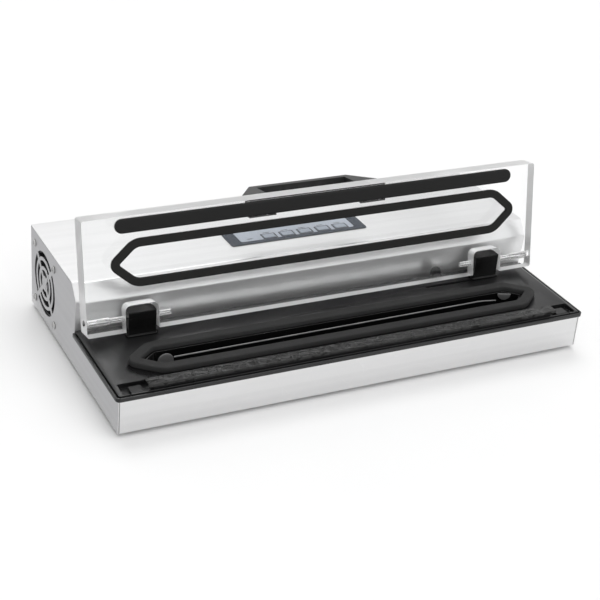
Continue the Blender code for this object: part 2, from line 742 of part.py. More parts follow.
    # ------------------------------------------------------------ deck
    def deck(self):
        """Make the moulded deck with its ledge, trough opening, bar recess, gasket groove and slot."""
        edge = HALF_WIDTH + RIM_OVERHANG
        front = FRONT_Y - RIM_OVERHANG
        corners = [DECK_CORNER_RADIUS, DECK_CORNER_RADIUS, DECK_BACK_CORNER, DECK_BACK_CORNER]
        body_corners = [DECK_BODY_RADIUS, DECK_BODY_RADIUS, GAP, GAP]
        rim_top = DECK_BOTTOM_Z + RIM_HEIGHT
        groove_z = DECK_BOTTOM_Z + RIM_GROOVE_FLOOR
        deck = self.prism("deck", rounded(rectangle(-edge, edge, front, DECK_BACK_Y), corners, 4),
                          DECK_BOTTOM_Z, rim_top, "Z", self.black)
        inside = edge - RIM_WIDTH
        hollow = rounded(rectangle(-inside, inside, front + RIM_WIDTH, DECK_BACK_Y + SHEET),
                         RIM_INNER_RADIUS, 4)
        cut(deck, self.cutter("rim_hollow", hollow, groove_z, rim_top + SHEET))
        body = inside - RIM_GROOVE
        body_front = front + RIM_WIDTH + RIM_GROOVE
        lower = rounded(rectangle(-body, body, body_front, DECK_BACK_Y), body_corners, 3)
        top = rounded(rectangle(-body + DECK_SLOPE, body - DECK_SLOPE, body_front + DECK_SLOPE, DECK_BACK_Y),
                      body_corners, 3)
        shape = bmesh.new()
        add_lofted_block(shape, [(lower, groove_z - GAP), (lower, DECK_EDGE_Z), (top, DECK_FIELD_Z)])
        join(deck, add_object("deck_body", shape, self.cutters))
        step = HALF_WIDTH - SHEET - 2 * GAP
        step_front = FRONT_Y + FRONT_RETURN + 2 * GAP
        inner = self.cutter("deck_step", rectangle(-step, step, step_front, DECK_BACK_Y - GAP),
                            DECK_BOTTOM_Z - DECK_STEP_DEPTH, DECK_BOTTOM_Z + RIM_GROOVE_FLOOR / 2)
        join(deck, inner)
        trough = seal_outline(*self.lower_gasket_size(), LOWER_GASKET_BAND + TRAY_LEDGE)
        cut(deck, self.cutter("trough_opening", trough, DECK_BOTTOM_Z - 2 * DECK_STEP_DEPTH,
                              DECK_FIELD_Z + SHEET))
        shape = bmesh.new()
        add_ring(shape, seal_outline(*self.lower_gasket_size(), -GAP),
                 seal_outline(*self.lower_gasket_size(), LOWER_GASKET_BAND + GAP),
                 DECK_FIELD_Z - LOWER_GASKET_GROOVE, DECK_FIELD_Z + SHEET)
        cut(deck, add_object("gasket_groove", shape, self.cutters))
        recess = rounded_box(-HALF_WIDTH + BAR_RECESS_END_INSET, HALF_WIDTH - BAR_RECESS_END_INSET,
                             FRONT_Y + BAR_RECESS_FRONT, FRONT_Y + BAR_RECESS_FRONT + BAR_RECESS_WIDTH,
                             BAR_RECESS_CORNER, 2)
        cut(deck, self.cutter("bar_recess", recess, DECK_FIELD_Z - BAR_RECESS_DEPTH, DECK_FIELD_Z + SHEET))
        for side in (-1, 1):
            slit = rectangle(side * WALL_SLIT_X - WALL_SLIT / 2, side * WALL_SLIT_X + WALL_SLIT / 2,
                             body_front - GAP, FRONT_Y + BAR_RECESS_FRONT + GAP)
            cut(deck, self.cutter("wall_slit_" + str(side + 1), slit, groove_z + RIM_GROOVE_FLOOR,
                                  DECK_FIELD_Z + SHEET))
        slot_middle = HALF_WIDTH - SLOT_INSET
        slot = rounded_box(slot_middle - SLOT_LENGTH / 2, slot_middle + SLOT_LENGTH / 2,
                           SLOT_Y - SLOT_WIDTH / 2, SLOT_Y + SLOT_WIDTH / 2, SLOT_WIDTH * 0.3, 3)
        cut(deck, self.cutter("deck_slot", slot, DECK_FIELD_Z - SLOT_DEPTH, DECK_FIELD_Z + SHEET))

    def lower_gasket_size(self):
        """Return the lower gasket's half length, half width and middle."""
        return HALF_WIDTH - LOWER_GASKET_HALF_LENGTH_INSET, LOWER_GASKET_HALF_WIDTH, SEAL_CENTRE_Y

    def lower_gasket(self):
        """Make the foam ring round the trough."""
        shape = bmesh.new()
        low = DECK_FIELD_Z - LOWER_GASKET_GROOVE + GAP
        add_ring(shape, seal_outline(*self.lower_gasket_size(), 0.0),
                 seal_outline(*self.lower_gasket_size(),
                              LOWER_GASKET_BAND), low, DECK_FIELD_Z + LOWER_GASKET_RISE)
        ring = add_object("lower_gasket", shape, self.pieces, self.rubber)
        soften(ring, LOWER_GASKET_EDGE, 1, 60.0)

    def chamber_pan(self):
        """Make the fixed pan that the drip tray sits in: its wall, and its floor with the vacuum port."""
        inset = self.tray_inset() - PAN_CLEARANCE - PAN_WALL
        top = DECK_BOTTOM_Z - DECK_STEP_DEPTH - GAP
        floor = self.pan_floor_z()
        shape = bmesh.new()
        add_ring(shape, seal_outline(*self.lower_gasket_size(), inset),
                 seal_outline(*self.lower_gasket_size(), inset + PAN_WALL), floor + PAN_WALL + GAP, top)
        add_object("chamber_wall", shape, self.pieces, self.black)
        plate = self.prism("chamber_floor", seal_outline(*self.lower_gasket_size(), inset), floor,
                           floor + PAN_WALL,
                           "Z", self.black)
        x, y = self.port_place()
        shape = bmesh.new()
        shoulder = BARB_RADIUS * PORT_SHOULDER
        profile = [(0.0, floor + PAN_WALL + PORT_RISE), (BARB_RADIUS, floor + PAN_WALL + PORT_RISE),
                   (BARB_RADIUS, floor - GAP), (shoulder, floor - GAP), (shoulder, floor - PORT_DROP),
                   (0.0, floor - PORT_DROP)]
        add_turned(shape, profile, (x, y, 0.0), "Z", 16)
        join(plate, add_object("port_barb", shape, self.cutters))

    def pan_floor_z(self):
        """Return the height of the underside of the pan's floor."""
        return DECK_FIELD_Z - TRAY_DEPTH - PAN_CLEARANCE - PAN_WALL

    def port_place(self):
        """Return where the vacuum port passes through the pan's floor."""
        return HALF_WIDTH * PORT_SHARE, SEAL_CENTRE_Y + PORT_OFFSET_Y

    def tray_inset(self):
        """Return how far the tray's outer wall stands inside the lower gasket's outer edge."""
        return LOWER_GASKET_BAND + TRAY_LEDGE + TRAY_CLEARANCE

    def drip_tray(self):
        """Make the lift-out tray with a lip that rests on the deck."""
        wall = self.tray_inset()
        lip = LOWER_GASKET_BAND + 2 * GAP
        lip_low = DECK_FIELD_Z + GAP
        lip_high = lip_low + TRAY_LIP_THICKNESS
        floor = DECK_FIELD_Z - TRAY_DEPTH
        shape = bmesh.new()
        loops = []
        for height, distance in ((lip_low, lip), (lip_high, lip), (lip_high, wall + TRAY_WALL),
                                 (floor + TRAY_WALL, wall + TRAY_WALL + TRAY_TAPER),
                                 (floor, wall + TRAY_TAPER), (lip_low, wall)):
            loops.append([(x, y, height) for x, y in seal_outline(*self.lower_gasket_size(), distance)])
        add_lofted(shape, loops, 3)
        tray = add_object("drip_tray", shape, self.pieces, self.black)
        x, y = self.port_place()
        cut(tray, self.cutter("tray_port_hole", circle(x, y, BARB_RADIUS + TRAY_CLEARANCE, 16),
                              floor - TRAY_WALL, floor + 2 * TRAY_WALL))

    def tray_fittings(self):
        """Make the two grey finger tabs in the tray and the wire that holds a bag's mouth up."""
        floor = DECK_FIELD_Z - TRAY_DEPTH + TRAY_WALL + GAP
        left_x = -HALF_WIDTH + TAB_LEFT_INSET
        top = DECK_FIELD_Z + TAB_LEFT_RISE
        middle = top - TAB_RADIUS
        outline = [(left_x - TAB_RADIUS, floor), (left_x + TAB_RADIUS, floor)]
        outline += half_circle(left_x, middle, TAB_RADIUS, 0.0, 10)
        near = SEAL_CENTRE_Y - TAB_THICKNESS / 2
        self.prism("tray_tab_left", outline, near, near + TAB_THICKNESS, "Y", self.grey)
        rim = DECK_FIELD_Z + GAP + TRAY_LIP_THICKNESS
        wall = self.tray_inset() + TRAY_WALL + TRAY_TAPER
        half_length = HALF_WIDTH - LOWER_GASKET_HALF_LENGTH_INSET - wall / math.sin(HEX_SLOPE)
        half_width = LOWER_GASKET_HALF_WIDTH - wall
        corner = Vector((half_length - half_width / math.tan(HEX_SLOPE), SEAL_CENTRE_Y + half_width, 0.0))
        turn = HEX_SLOPE / 2
        inward = TAB_RIGHT_RADIUS * math.tan(turn) + GAP
        tab = self.prism("tray_tab_right", half_circle(0.0, rim, TAB_RIGHT_RADIUS, math.pi, 10),
                         -inward - TAB_THICKNESS, -inward, "Y", self.grey)
        tab.data.transform(Matrix.Translation(corner) @ Matrix.Rotation(-turn, 4, "Z"))
        start = left_x + TAB_RADIUS + GAP
        end = HALF_WIDTH - WIRE_END_INSET
        bend = end - WIRE_BEND_LENGTH
        low = DECK_FIELD_Z
        high = low + WIRE_RISE
        path = [(start, SEAL_CENTRE_Y, low), (bend, SEAL_CENTRE_Y, high),
                (bend + WIRE_BEND_LENGTH * 0.3, SEAL_CENTRE_Y + WIRE_END_SWING * 0.2,
                 high - WIRE_END_DROP * 0.2),
                (end, SEAL_CENTRE_Y + WIRE_END_SWING, high - WIRE_END_DROP)]
        tube(self.pieces, "bag_stop_wire", path, WIRE_RADIUS, self.bright, 8, 1)

    # ------------------------------------------------------------ seal bar
    def seal_bar(self):
        """Make the bar, the heating band on it and the cover tape."""
        half = HALF_WIDTH - BAR_END_INSET
        front = FRONT_Y + BAR_RECESS_FRONT + BAR_FRONT_GAP
        back = front + BAR_WIDTH
        low = DECK_FIELD_Z - BAR_RECESS_DEPTH + GAP
        high = DECK_FIELD_Z + BAR_RISE
        bar = self.prism("seal_bar", rectangle(-half, half, front, back), low, high, "Z", self.black)
        soften(bar, BAR_EDGE, 1)
        middle = (front + back) / 2
        band_low = high + TAPE_GAP
        band_high = band_low + BAND_THICKNESS
        self.prism("heating_band", rectangle(-half, half, middle - BAND_WIDTH / 2, middle + BAND_WIDTH / 2),
                   band_low, band_high, "Z", self.bright)
        tape_low = band_high + TAPE_GAP
        tape_high = tape_low + TAPE_THICKNESS
        skirt = tape_high - TAPE_SKIRT
        inner = TAPE_GAP * 2
        outline = [(front - inner - TAPE_THICKNESS, skirt), (front - inner, skirt), (front - inner, tape_low),
                   (back + inner, tape_low), (back + inner, skirt), (back + inner + TAPE_THICKNESS, skirt),
                   (back + inner + TAPE_THICKNESS, tape_high), (front - inner - TAPE_THICKNESS, tape_high)]
        self.prism("seal_tape", outline, -half - TAPE_OVERRUN, half + TAPE_OVERRUN, "X", self.tape)
        for name, side in (("tape_clamp_left", -1), ("tape_clamp_right", 1)):
            near = side * (half + TAPE_OVERRUN + CLAMP_CLEARANCE)
            far = near + side * CLAMP_LENGTH
            clamp = self.prism(name, rounded_box(min(near, far), max(near, far), front, back, CLAMP_CORNER,
                                                 2),
                               low, DECK_FIELD_Z - CLAMP_DROP, "Z", self.black)
            soften(clamp, BAR_EDGE, 1)

    # ------------------------------------------------------------ hinge
    def hinge(self):
        """Make the two posts on the deck and the pins that the lid turns on."""
        for side, word in ((-1, "left"), (1, "right")):
            middle = side * (HALF_WIDTH - POST_INSET)
            self.hinge_post("hinge_post_" + word, middle)
            self.hinge_pin("hinge_pin_" + word, middle, side)

    def hinge_post(self, name, middle):
        """Make one post: a block with a flat top, cut corners, a sloping back and a thin flange."""
        front = AXIS_Y - POST_FRONT
        top = AXIS_Z + POST_RISE
        back = AXIS_Y + POST_FRONT
        foot = DECK_FIELD_Z + GAP
        half = POST_WIDTH / 2
        shape = bmesh.new()
        add_prism(shape, [(front, foot), (front, top), (front + POST_TOP_DEPTH, top),
                          (back, top - POST_BACK_DROP), (back, foot)], middle - half, middle + half, "X")
        post = add_object(name, shape, self.pieces, self.black)
        for side in (-1, 1):
            edge = middle + side * half
            corner = [(edge - side * POST_CORNER, back + GAP), (edge + side * GAP,
                                                                back - POST_CORNER * POST_CORNER_SLANT),
                      (edge + side * POST_CORNER, back - POST_CORNER), (edge + side * POST_CORNER,
                                                                        back + POST_CORNER)]
            cut(post, self.cutter(name + "_corner_" + str(side + 1), corner, foot + POST_FLANGE_HEIGHT,
                                  top + SHEET))
        flange = self.cutter(name + "_flange", rounded_box(middle - half - POST_FLANGE,
                                                           middle + half + POST_FLANGE,
                             front - POST_FLANGE, back + POST_FLANGE / 2, POST_FLANGE_CORNER, 2),
                  foot, foot + POST_FLANGE_HEIGHT)
        join(post, flange)
        cut(post, self.cutter(name + "_bore", circle(AXIS_Y, AXIS_Z, PIN_RADIUS + BORE_CLEARANCE, 20),
                              middle - POST_WIDTH, middle + POST_WIDTH, "X"))
        soften(post, POST_EDGE, 2, 40.0)

    def hinge_pin(self, name, middle, side):
        """Make one headed pin, which passes from the lid's side edge through the post into the lid again."""
        outer = side * (LID_HALF_WIDTH - PIN_RECESS)
        shoulder = outer - side * PIN_HEAD_LENGTH
        tip = middle - side * (NOTCH_HALF + PIN_TIP)
        shape = bmesh.new()
        profile = [(0.0, tip), (PIN_RADIUS - PIN_SLOPE, tip), (PIN_RADIUS, tip + side * PIN_SLOPE),
                   (PIN_RADIUS, shoulder),
                   (PIN_HEAD_RADIUS, shoulder), (PIN_HEAD_RADIUS, outer), (0.0, outer)]
        add_turned(shape, profile, (0.0, AXIS_Y, AXIS_Z), "X", 20)
        pin = add_object(name, shape, self.pieces, self.bright)
        set_origin(pin, (0.0, AXIS_Y, AXIS_Z))

    # ------------------------------------------------------------ lid
    def lid(self):
        """Make the clear lid with its notches, hinge bores, grooves and screw holes."""
        turn = lid_matrix()
        shape = bmesh.new()
        add_prism(shape, rounded_box(-LID_HALF_WIDTH, LID_HALF_WIDTH, 0.0, LID_LENGTH, LID_CORNER, 3),
                  -LID_THICKNESS, 0.0)
        lid = add_object("lid", shape, self.pieces, self.acrylic)
        cuts = []
        notch_end = LID_AXIS_UP + NOTCH_END
        for side in (-1, 1):
            middle = side * (HALF_WIDTH - POST_INSET)
            notch = rounded(rectangle(middle - NOTCH_HALF, middle + NOTCH_HALF, -LID_AXIS_UP, notch_end),
                            [NOTCH_MOUTH_RADIUS, NOTCH_MOUTH_RADIUS, NOTCH_RADIUS, NOTCH_RADIUS], 4)
            cuts.append(self.cutter("lid_notch_" + str(side + 1), notch, -2 * LID_THICKNESS, LID_THICKNESS))
        for side in (-1, 1):
            middle = side * (HALF_WIDTH - POST_INSET)
            tip = middle - side * (NOTCH_HALF + PIN_TIP + BORE_CLEARANCE * 2)
            shoulder = side * (LID_HALF_WIDTH - PIN_RECESS - PIN_HEAD_LENGTH - BORE_CLEARANCE)
            outer = side * (LID_HALF_WIDTH + SHEET)
            shape = bmesh.new()
            profile = [(0.0, tip), (PIN_RADIUS + BORE_CLEARANCE, tip), (PIN_RADIUS + BORE_CLEARANCE,
                                                                        shoulder),
                       (PIN_HEAD_RADIUS + BORE_CLEARANCE, shoulder), (PIN_HEAD_RADIUS + BORE_CLEARANCE,
                                                                      outer),
                       (0.0, outer)]
            add_turned(shape, profile, (0.0, LID_AXIS_UP, -LID_THICKNESS / 2), "X", 20)
            cuts.append(add_object("lid_bore_" + str(side + 1), shape, self.cutters))
            screw = bmesh.new()
            head = -LID_GROOVE_DEPTH - SCREW_HEAD_DEPTH
            profile = [(0.0, -LID_THICKNESS - SHEET), (SCREW_RADIUS + SCREW_CLEARANCE,
                                                       -LID_THICKNESS - SHEET),
                       (SCREW_RADIUS + SCREW_CLEARANCE, head), (SCREW_HEAD_RADIUS + SCREW_CLEARANCE, head),
                       (SCREW_HEAD_RADIUS + SCREW_CLEARANCE, SHEET), (0.0, SHEET)]
            add_turned(screw, profile, (side * HANDLE_SCREW_X, self.handle_middle(), 0.0), "Z", 16)
            cuts.append(add_object("lid_screw_hole_" + str(side + 1), screw, self.cutters))
        groove = bmesh.new()
        add_ring(groove, seal_outline(*self.lid_gasket_size(), -GAP),
                 seal_outline(*self.lid_gasket_size(), LID_GASKET_BAND + GAP), -LID_GROOVE_DEPTH, SHEET)
        cuts.append(add_object("lid_gasket_groove", groove, self.cutters))
        cuts.append(self.cutter("lid_pad_groove", self.pad_outline(GAP), -LID_GROOVE_DEPTH, SHEET))
        for cutter in cuts:
            cutter.data.transform(turn)
            cut(lid, cutter)
        lid.data.transform(turn)
        set_origin(lid, (0.0, AXIS_Y, AXIS_Z))

    def handle_middle(self):
        """Return the handle's middle, up the lid."""
        return LID_LENGTH - HANDLE_FROM_EDGE - HANDLE_HEIGHT / 2

    def lid_gasket_size(self):
        """Return the lid gasket's half length, half width and middle, in the lid's own frame."""
        middle = AXIS_Y + LID_AXIS_UP - SEAL_CENTRE_Y
        return HALF_WIDTH - LID_GASKET_HALF_LENGTH_INSET, LID_GASKET_HALF_WIDTH, middle

    def closed_underside_z(self):
        """Return the height of the lid's underside when the lid is closed."""
        return AXIS_Z - LID_THICKNESS / 2

    def pad_outline(self, grow=0.0):
        """Return the pressing pad's outline, in the lid's own frame."""
        half = HALF_WIDTH - PAD_HALF_LENGTH_INSET + grow
        middle = LID_LENGTH - PAD_FROM_EDGE
        reach = PAD_WIDTH / 2 + grow
        return rounded_box(-half, half, middle - reach, middle + reach, reach * 0.99, 6)

    def lid_seals(self):
        """Make the gasket and the pressing pad set in the lid's underside."""
        turn = lid_matrix()
        low = -LID_GROOVE_DEPTH + GAP
        gasket_rise = self.closed_underside_z() - DECK_FIELD_Z - LOWER_GASKET_RISE - GAP
        shape = bmesh.new()
        add_ring(shape, seal_outline(*self.lid_gasket_size(), 0.0),
                 seal_outline(*self.lid_gasket_size(), LID_GASKET_BAND), low, gasket_rise)
        gasket = add_object("lid_gasket", shape, self.pieces, self.rubber)
        tape_top = DECK_FIELD_Z + BAR_RISE + 2 * TAPE_GAP + BAND_THICKNESS + TAPE_THICKNESS
        pad_rise = self.closed_underside_z() - tape_top - PAD_PRESS_GAP
        pad = self.prism("pressing_pad", self.pad_outline(), low, pad_rise, "Z", self.rubber)
        for piece in (gasket, pad):
            piece.data.transform(turn)
            set_origin(piece, (0.0, AXIS_Y, AXIS_Z))
        soften(gasket, LID_GASKET_EDGE, 1, 60.0)
        soften(pad, PAD_EDGE, 1, 60.0)

    def handle(self):
        """Make the handle on the lid's outer face, its two screws and the striker."""
        turn = lid_matrix()
        outer_face = -LID_THICKNESS - GAP
        arm = HANDLE_BAR_HALF - HANDLE_ARM
        foot_inner = HANDLE_FOOT_HALF - HANDLE_FOOT_WIDTH
        bar_in = outer_face - HANDLE_STANDOFF + HANDLE_BAR_THICKNESS
        kink = outer_face - HANDLE_RISER
        outline = [(-HANDLE_FOOT_HALF, outer_face), (-foot_inner, outer_face), (-arm, kink), (-arm, bar_in),
                   (arm, bar_in), (arm, kink), (foot_inner, outer_face), (HANDLE_FOOT_HALF, outer_face),
                   (HANDLE_FOOT_HALF, kink), (HANDLE_BAR_HALF, outer_face - HANDLE_STANDOFF),
                   (-HANDLE_BAR_HALF, outer_face - HANDLE_STANDOFF), (-HANDLE_FOOT_HALF, kink)]
        middle = self.handle_middle()
        handle = self.prism("lid_handle", outline, middle - HANDLE_HEIGHT / 2, middle + HANDLE_HEIGHT / 2,
                            "Y", self.black)
        for side, word in ((-1, "left"), (1, "right")):
            deep = outer_face - SCREW_DEPTH_IN_FOOT
            hole = self.cutter("handle_hole_" + word, circle(side * HANDLE_SCREW_X, middle,
                                                             SCREW_RADIUS + SCREW_CLEARANCE, 16),
                               deep - SCREW_CLEARANCE, outer_face + SHEET)
            hole.data.transform(turn)
            cut(handle, hole)
            head = -LID_GROOVE_DEPTH - SCREW_HEAD_DEPTH
            top = -LID_GROOVE_DEPTH - SCREW_CLEARANCE
            profile = [(0.0, deep), (SCREW_RADIUS, deep), (SCREW_RADIUS, head + SCREW_CLEARANCE),
                       (SCREW_HEAD_RADIUS, head + SCREW_CLEARANCE), (SCREW_HEAD_RADIUS, top), (0.0, top)]
            shape = bmesh.new()
            add_turned(shape, profile, (side * HANDLE_SCREW_X, middle, 0.0), "Z", 16)
            screw = add_object("handle_screw_" + word, shape, self.pieces, self.bright)
            screw.data.transform(turn)
            set_origin(screw, (0.0, AXIS_Y, AXIS_Z))
        handle.data.transform(turn)
        set_origin(handle, (0.0, AXIS_Y, AXIS_Z))
        soften(handle, HANDLE_EDGE, 2, 20.0)
        self.striker(turn, outer_face)

    def striker(self, turn, outer_face):
        """Make the small striker on the lid's outer face that works the lid switch."""
        low = STRIKER_UP
        half = STRIKER_WIDTH / 2
        sole = low + STRIKER_FLANGE_HEIGHT * 0.5
        outline = [(STRIKER_X - half, sole), (STRIKER_X + half, sole)]
        outline += half_circle(STRIKER_X, low + STRIKER_HEIGHT - half, half, 0.0, 8)
        striker = self.prism("lid_striker", outline, outer_face - STRIKER_THICKNESS, outer_face, "Z",
                             self.black)
        flange = self.cutter("striker_flange", rectangle(STRIKER_X - half - STRIKER_FLANGE,
                                                         STRIKER_X + half + STRIKER_FLANGE,
                             low, low + STRIKER_FLANGE_HEIGHT),
                  outer_face - STRIKER_THICKNESS * 0.8, outer_face)
        flange.data.transform(turn)
        striker.data.transform(turn)
        join(striker, flange)
        set_origin(striker, (0.0, AXIS_Y, AXIS_Z))

    # ------------------------------------------------------------ control panel
    def control_panel(self):
        """Make the panel's frame, its overlay, the five buttons and the board under them."""
        half_x = PANEL_WIDTH / 2
        half_y = PANEL_DEPTH / 2
        low = HOUSING_TOP_Z + GAP
        high = HOUSING_TOP_Z + PANEL_RISE
        frame = self.prism("control_panel_frame", rounded_box(-half_x, half_x, PANEL_Y - half_y,
                                                              PANEL_Y + half_y,
                           PANEL_CORNER), low, high, "Z", self.slate)
        skirt_x = half_x - PANEL_FLANGE - GAP
        skirt_y = half_y - PANEL_FLANGE - GAP
        skirt_low = HOUSING_TOP_Z - SHEET - PANEL_SKIRT_DROP
        join(frame, self.cutter("panel_skirt", rounded_box(-skirt_x, skirt_x, PANEL_Y - skirt_y,
                                                           PANEL_Y + skirt_y,
                                PANEL_CORNER - GAP), skirt_low, (low + high) / 2))
        over_x = OVERLAY_WIDTH / 2
        over_y = OVERLAY_DEPTH / 2
        grow = OVERLAY_CLEARANCE
        pocket = rounded_box(-over_x - grow, over_x + grow, PANEL_Y - over_y - grow,
                             PANEL_Y + over_y + grow, OVERLAY_CORNER)
        overlay_low = high - OVERLAY_THICKNESS
        cut(frame, self.cutter("overlay_pocket", pocket, overlay_low - GAP, high + SHEET))
        overlay = self.prism("panel_overlay", rounded_box(-over_x, over_x, PANEL_Y - over_y, PANEL_Y + over_y,
                             OVERLAY_CORNER), overlay_low, high, "Z", self.overlay)
        holes = bmesh.new()
        for name, x in self.button_places():
            self.button(name, x, high)
            room_x = BUTTON_WIDTH / 2 + BUTTON_CLEARANCE
            room_y = BUTTON_DEPTH / 2 + BUTTON_CLEARANCE
            y = PANEL_Y + BUTTON_OFFSET_Y
            add_prism(holes, rounded_box(x - room_x, x + room_x, y - room_y, y + room_y,
                                         BUTTON_CORNER + BUTTON_CLEARANCE, 3),
                      skirt_low - SHEET, high + SHEET)
        windows = add_object("button_windows", holes, self.cutters)
        cut(frame, windows)
        cut(overlay, windows)
        board_x = half_x * BUTTON_BOARD_SHARE_X
        board_y = half_y * BUTTON_BOARD_SHARE_Y
        board_top = HOUSING_TOP_Z - SHEET - BUTTON_BOARD_DROP + BUTTON_BOARD_THICKNESS
        self.prism("button_board", rectangle(-board_x, board_x, PANEL_Y - board_y, PANEL_Y + board_y),
                   board_top - BUTTON_BOARD_THICKNESS, board_top, "Z", self.board)

    def button_places(self):
        """Return each button's name and place along the row."""
        middle = (len(BUTTON_NAMES) - 1) / 2
        return [("button_" + name, BUTTON_ROW_X + (index - middle) * BUTTON_PITCH)
                for index, name in enumerate(BUTTON_NAMES)]

    def button(self, name, x, face):
        """Make one button."""
        y = PANEL_Y + BUTTON_OFFSET_Y
        top = face + BUTTON_RISE
        outline = rounded_box(x - BUTTON_WIDTH / 2, x + BUTTON_WIDTH / 2, y - BUTTON_DEPTH / 2,
                              y + BUTTON_DEPTH / 2,
                              BUTTON_CORNER, 3)
        piece = self.prism(name, outline, top - BUTTON_BODY, top, "Z", self.overlay)
        soften(piece, BUTTON_EDGE, 1, 60.0)
        set_origin(piece, (x, y, top))

    # ------------------------------------------------------------ fan
    def fan(self):
        """Make the fan's frame, its rotor and four screws through the side panel."""
        near = -HALF_WIDTH + SHEET + GAP
        far = near + FAN_THICKNESS
        half = FAN_SIZE / 2
        frame = self.prism("fan_frame", rounded_box(FAN_Y - half, FAN_Y + half, FAN_Z - half, FAN_Z + half,
                                                    FAN_CORNER, 3),
                           near, far, "X", self.black)
        cut(frame, self.cutter("fan_bore", circle(FAN_Y, FAN_Z, FAN_BORE, 40), near - SHEET, far - FAN_BACK,
                               "X"))
        back = bmesh.new()
        hub = FAN_HUB + FAN_BLADE_CLEARANCE
        for quarter in range(4):
            add_prism(back, arc_slot(FAN_Y, FAN_Z, FAN_BORE - GAP, hub, quarter, GRILLE_SPOKE * 0.8, 8),
                      far - 2 * FAN_BACK, far + SHEET, "X")
        cut(frame, add_object("fan_back_openings", back, self.cutters))
        holes = bmesh.new()
        for index, (y, z) in enumerate(self.fan_screw_places()):
            add_prism(holes, circle(y, z, FAN_SCREW_RADIUS + GAP, 12), near - SHEET, far + SHEET, "X")
            self.fan_screw("fan_screw_" + str(index + 1), y, z)
        cut(frame, add_object("fan_screw_holes", holes, self.cutters))
        self.fan_rotor(near + ROTOR_FRONT_GAP, far - ROTOR_BACK_GAP)

    def fan_screw(self, name, y, z):
        """Make one round-headed screw."""
        face = -HALF_WIDTH - GAP
        crown = FAN_SCREW_HEAD_HEIGHT
        profile = [(0.0, face - crown), (FAN_SCREW_HEAD * 0.55, face - crown * 0.92),
                   (FAN_SCREW_HEAD * 0.88, face - crown * 0.6),
                   (FAN_SCREW_HEAD, face - crown * 0.15), (FAN_SCREW_HEAD, face), (FAN_SCREW_RADIUS, face),
                   (FAN_SCREW_RADIUS, face + FAN_SCREW_LENGTH), (0.0, face + FAN_SCREW_LENGTH)]
        shape = bmesh.new()
        add_turned(shape, profile, (0.0, y, z), "X", 14)
        add_object(name, shape, self.pieces, self.bright)

    def fan_rotor(self, near, far):
        """Make the hub and its twisted blades."""
        hub = self.prism("fan_rotor", circle(FAN_Y, FAN_Z, FAN_HUB, 28), near, far, "X", self.black)
        tip = FAN_BORE - FAN_BLADE_CLEARANCE
        root = FAN_HUB * BLADE_ROOT_SHARE
        radii = (root, (root + tip) / 2, tip)
        for blade in range(FAN_BLADES):
            shape = bmesh.new()
            loops = []
            for radius, (chord, pitch) in zip(radii, BLADE_SHAPE):
                loops.append(blade_section(radius, chord * tip, math.radians(pitch), BLADE_THICKNESS,
                                           2 * math.pi * blade / FAN_BLADES, (near + far) / 2,
                                            far - near - FAN_BACK))
            add_skin(shape, loops)
            join(hub, add_object("fan_blade_" + str(blade), shape, self.cutters))
        set_origin(hub, ((near + far) / 2, FAN_Y, FAN_Z))

    # ------------------------------------------------------------ workings
    def transformer(self):
        """Make the laminated core and the coil round its middle leg."""
        low = BASE_Z + SHEET + GAP
        high = low + CORE_HEIGHT
        left = TRANSFORMER_X - CORE_WIDTH / 2
        right = TRANSFORMER_X + CORE_WIDTH / 2
        core = self.prism("transformer_core", rectangle(left, right, low, high),
                          TRANSFORMER_Y - CORE_DEPTH / 4,
                          TRANSFORMER_Y + CORE_DEPTH / 4, "Y", self.grey)
        windows = bmesh.new()
        yoke = (CORE_HEIGHT - 2 * CORE_WINDOW) / 3
        spans = []
        for side in (-1, 1):
            near = TRANSFORMER_X + side * CORE_LEG / 2
            far = TRANSFORMER_X + side * (CORE_WIDTH / 2 - CORE_SIDE)
            spans.append((min(near, far), max(near, far)))
            add_prism(windows, rectangle(min(near, far), max(near, far), low + yoke, high - yoke),
                      TRANSFORMER_Y - CORE_DEPTH, TRANSFORMER_Y + CORE_DEPTH, "Y")
        cut(core, add_object("core_windows", windows, self.cutters))
        room = COIL_CLEARANCE
        outer_x = spans[1][1] - TRANSFORMER_X - room
        inner_x = CORE_LEG / 2 + room
        outer_y = CORE_DEPTH / 4 + room + COIL_BULGE
        inner_y = CORE_DEPTH / 4 + room
        shape = bmesh.new()
        outer = rounded_box(TRANSFORMER_X - outer_x, TRANSFORMER_X + outer_x, TRANSFORMER_Y - outer_y,
                            TRANSFORMER_Y + outer_y, COIL_CORNER, 3)
        inner = rounded_box(TRANSFORMER_X - inner_x, TRANSFORMER_X + inner_x, TRANSFORMER_Y - inner_y,
                            TRANSFORMER_Y + inner_y, COIL_INNER_CORNER, 3)
        add_ring(shape, outer, inner, low + yoke + room, high - yoke - room)
        add_object("transformer_coil", shape, self.pieces, self.copper)

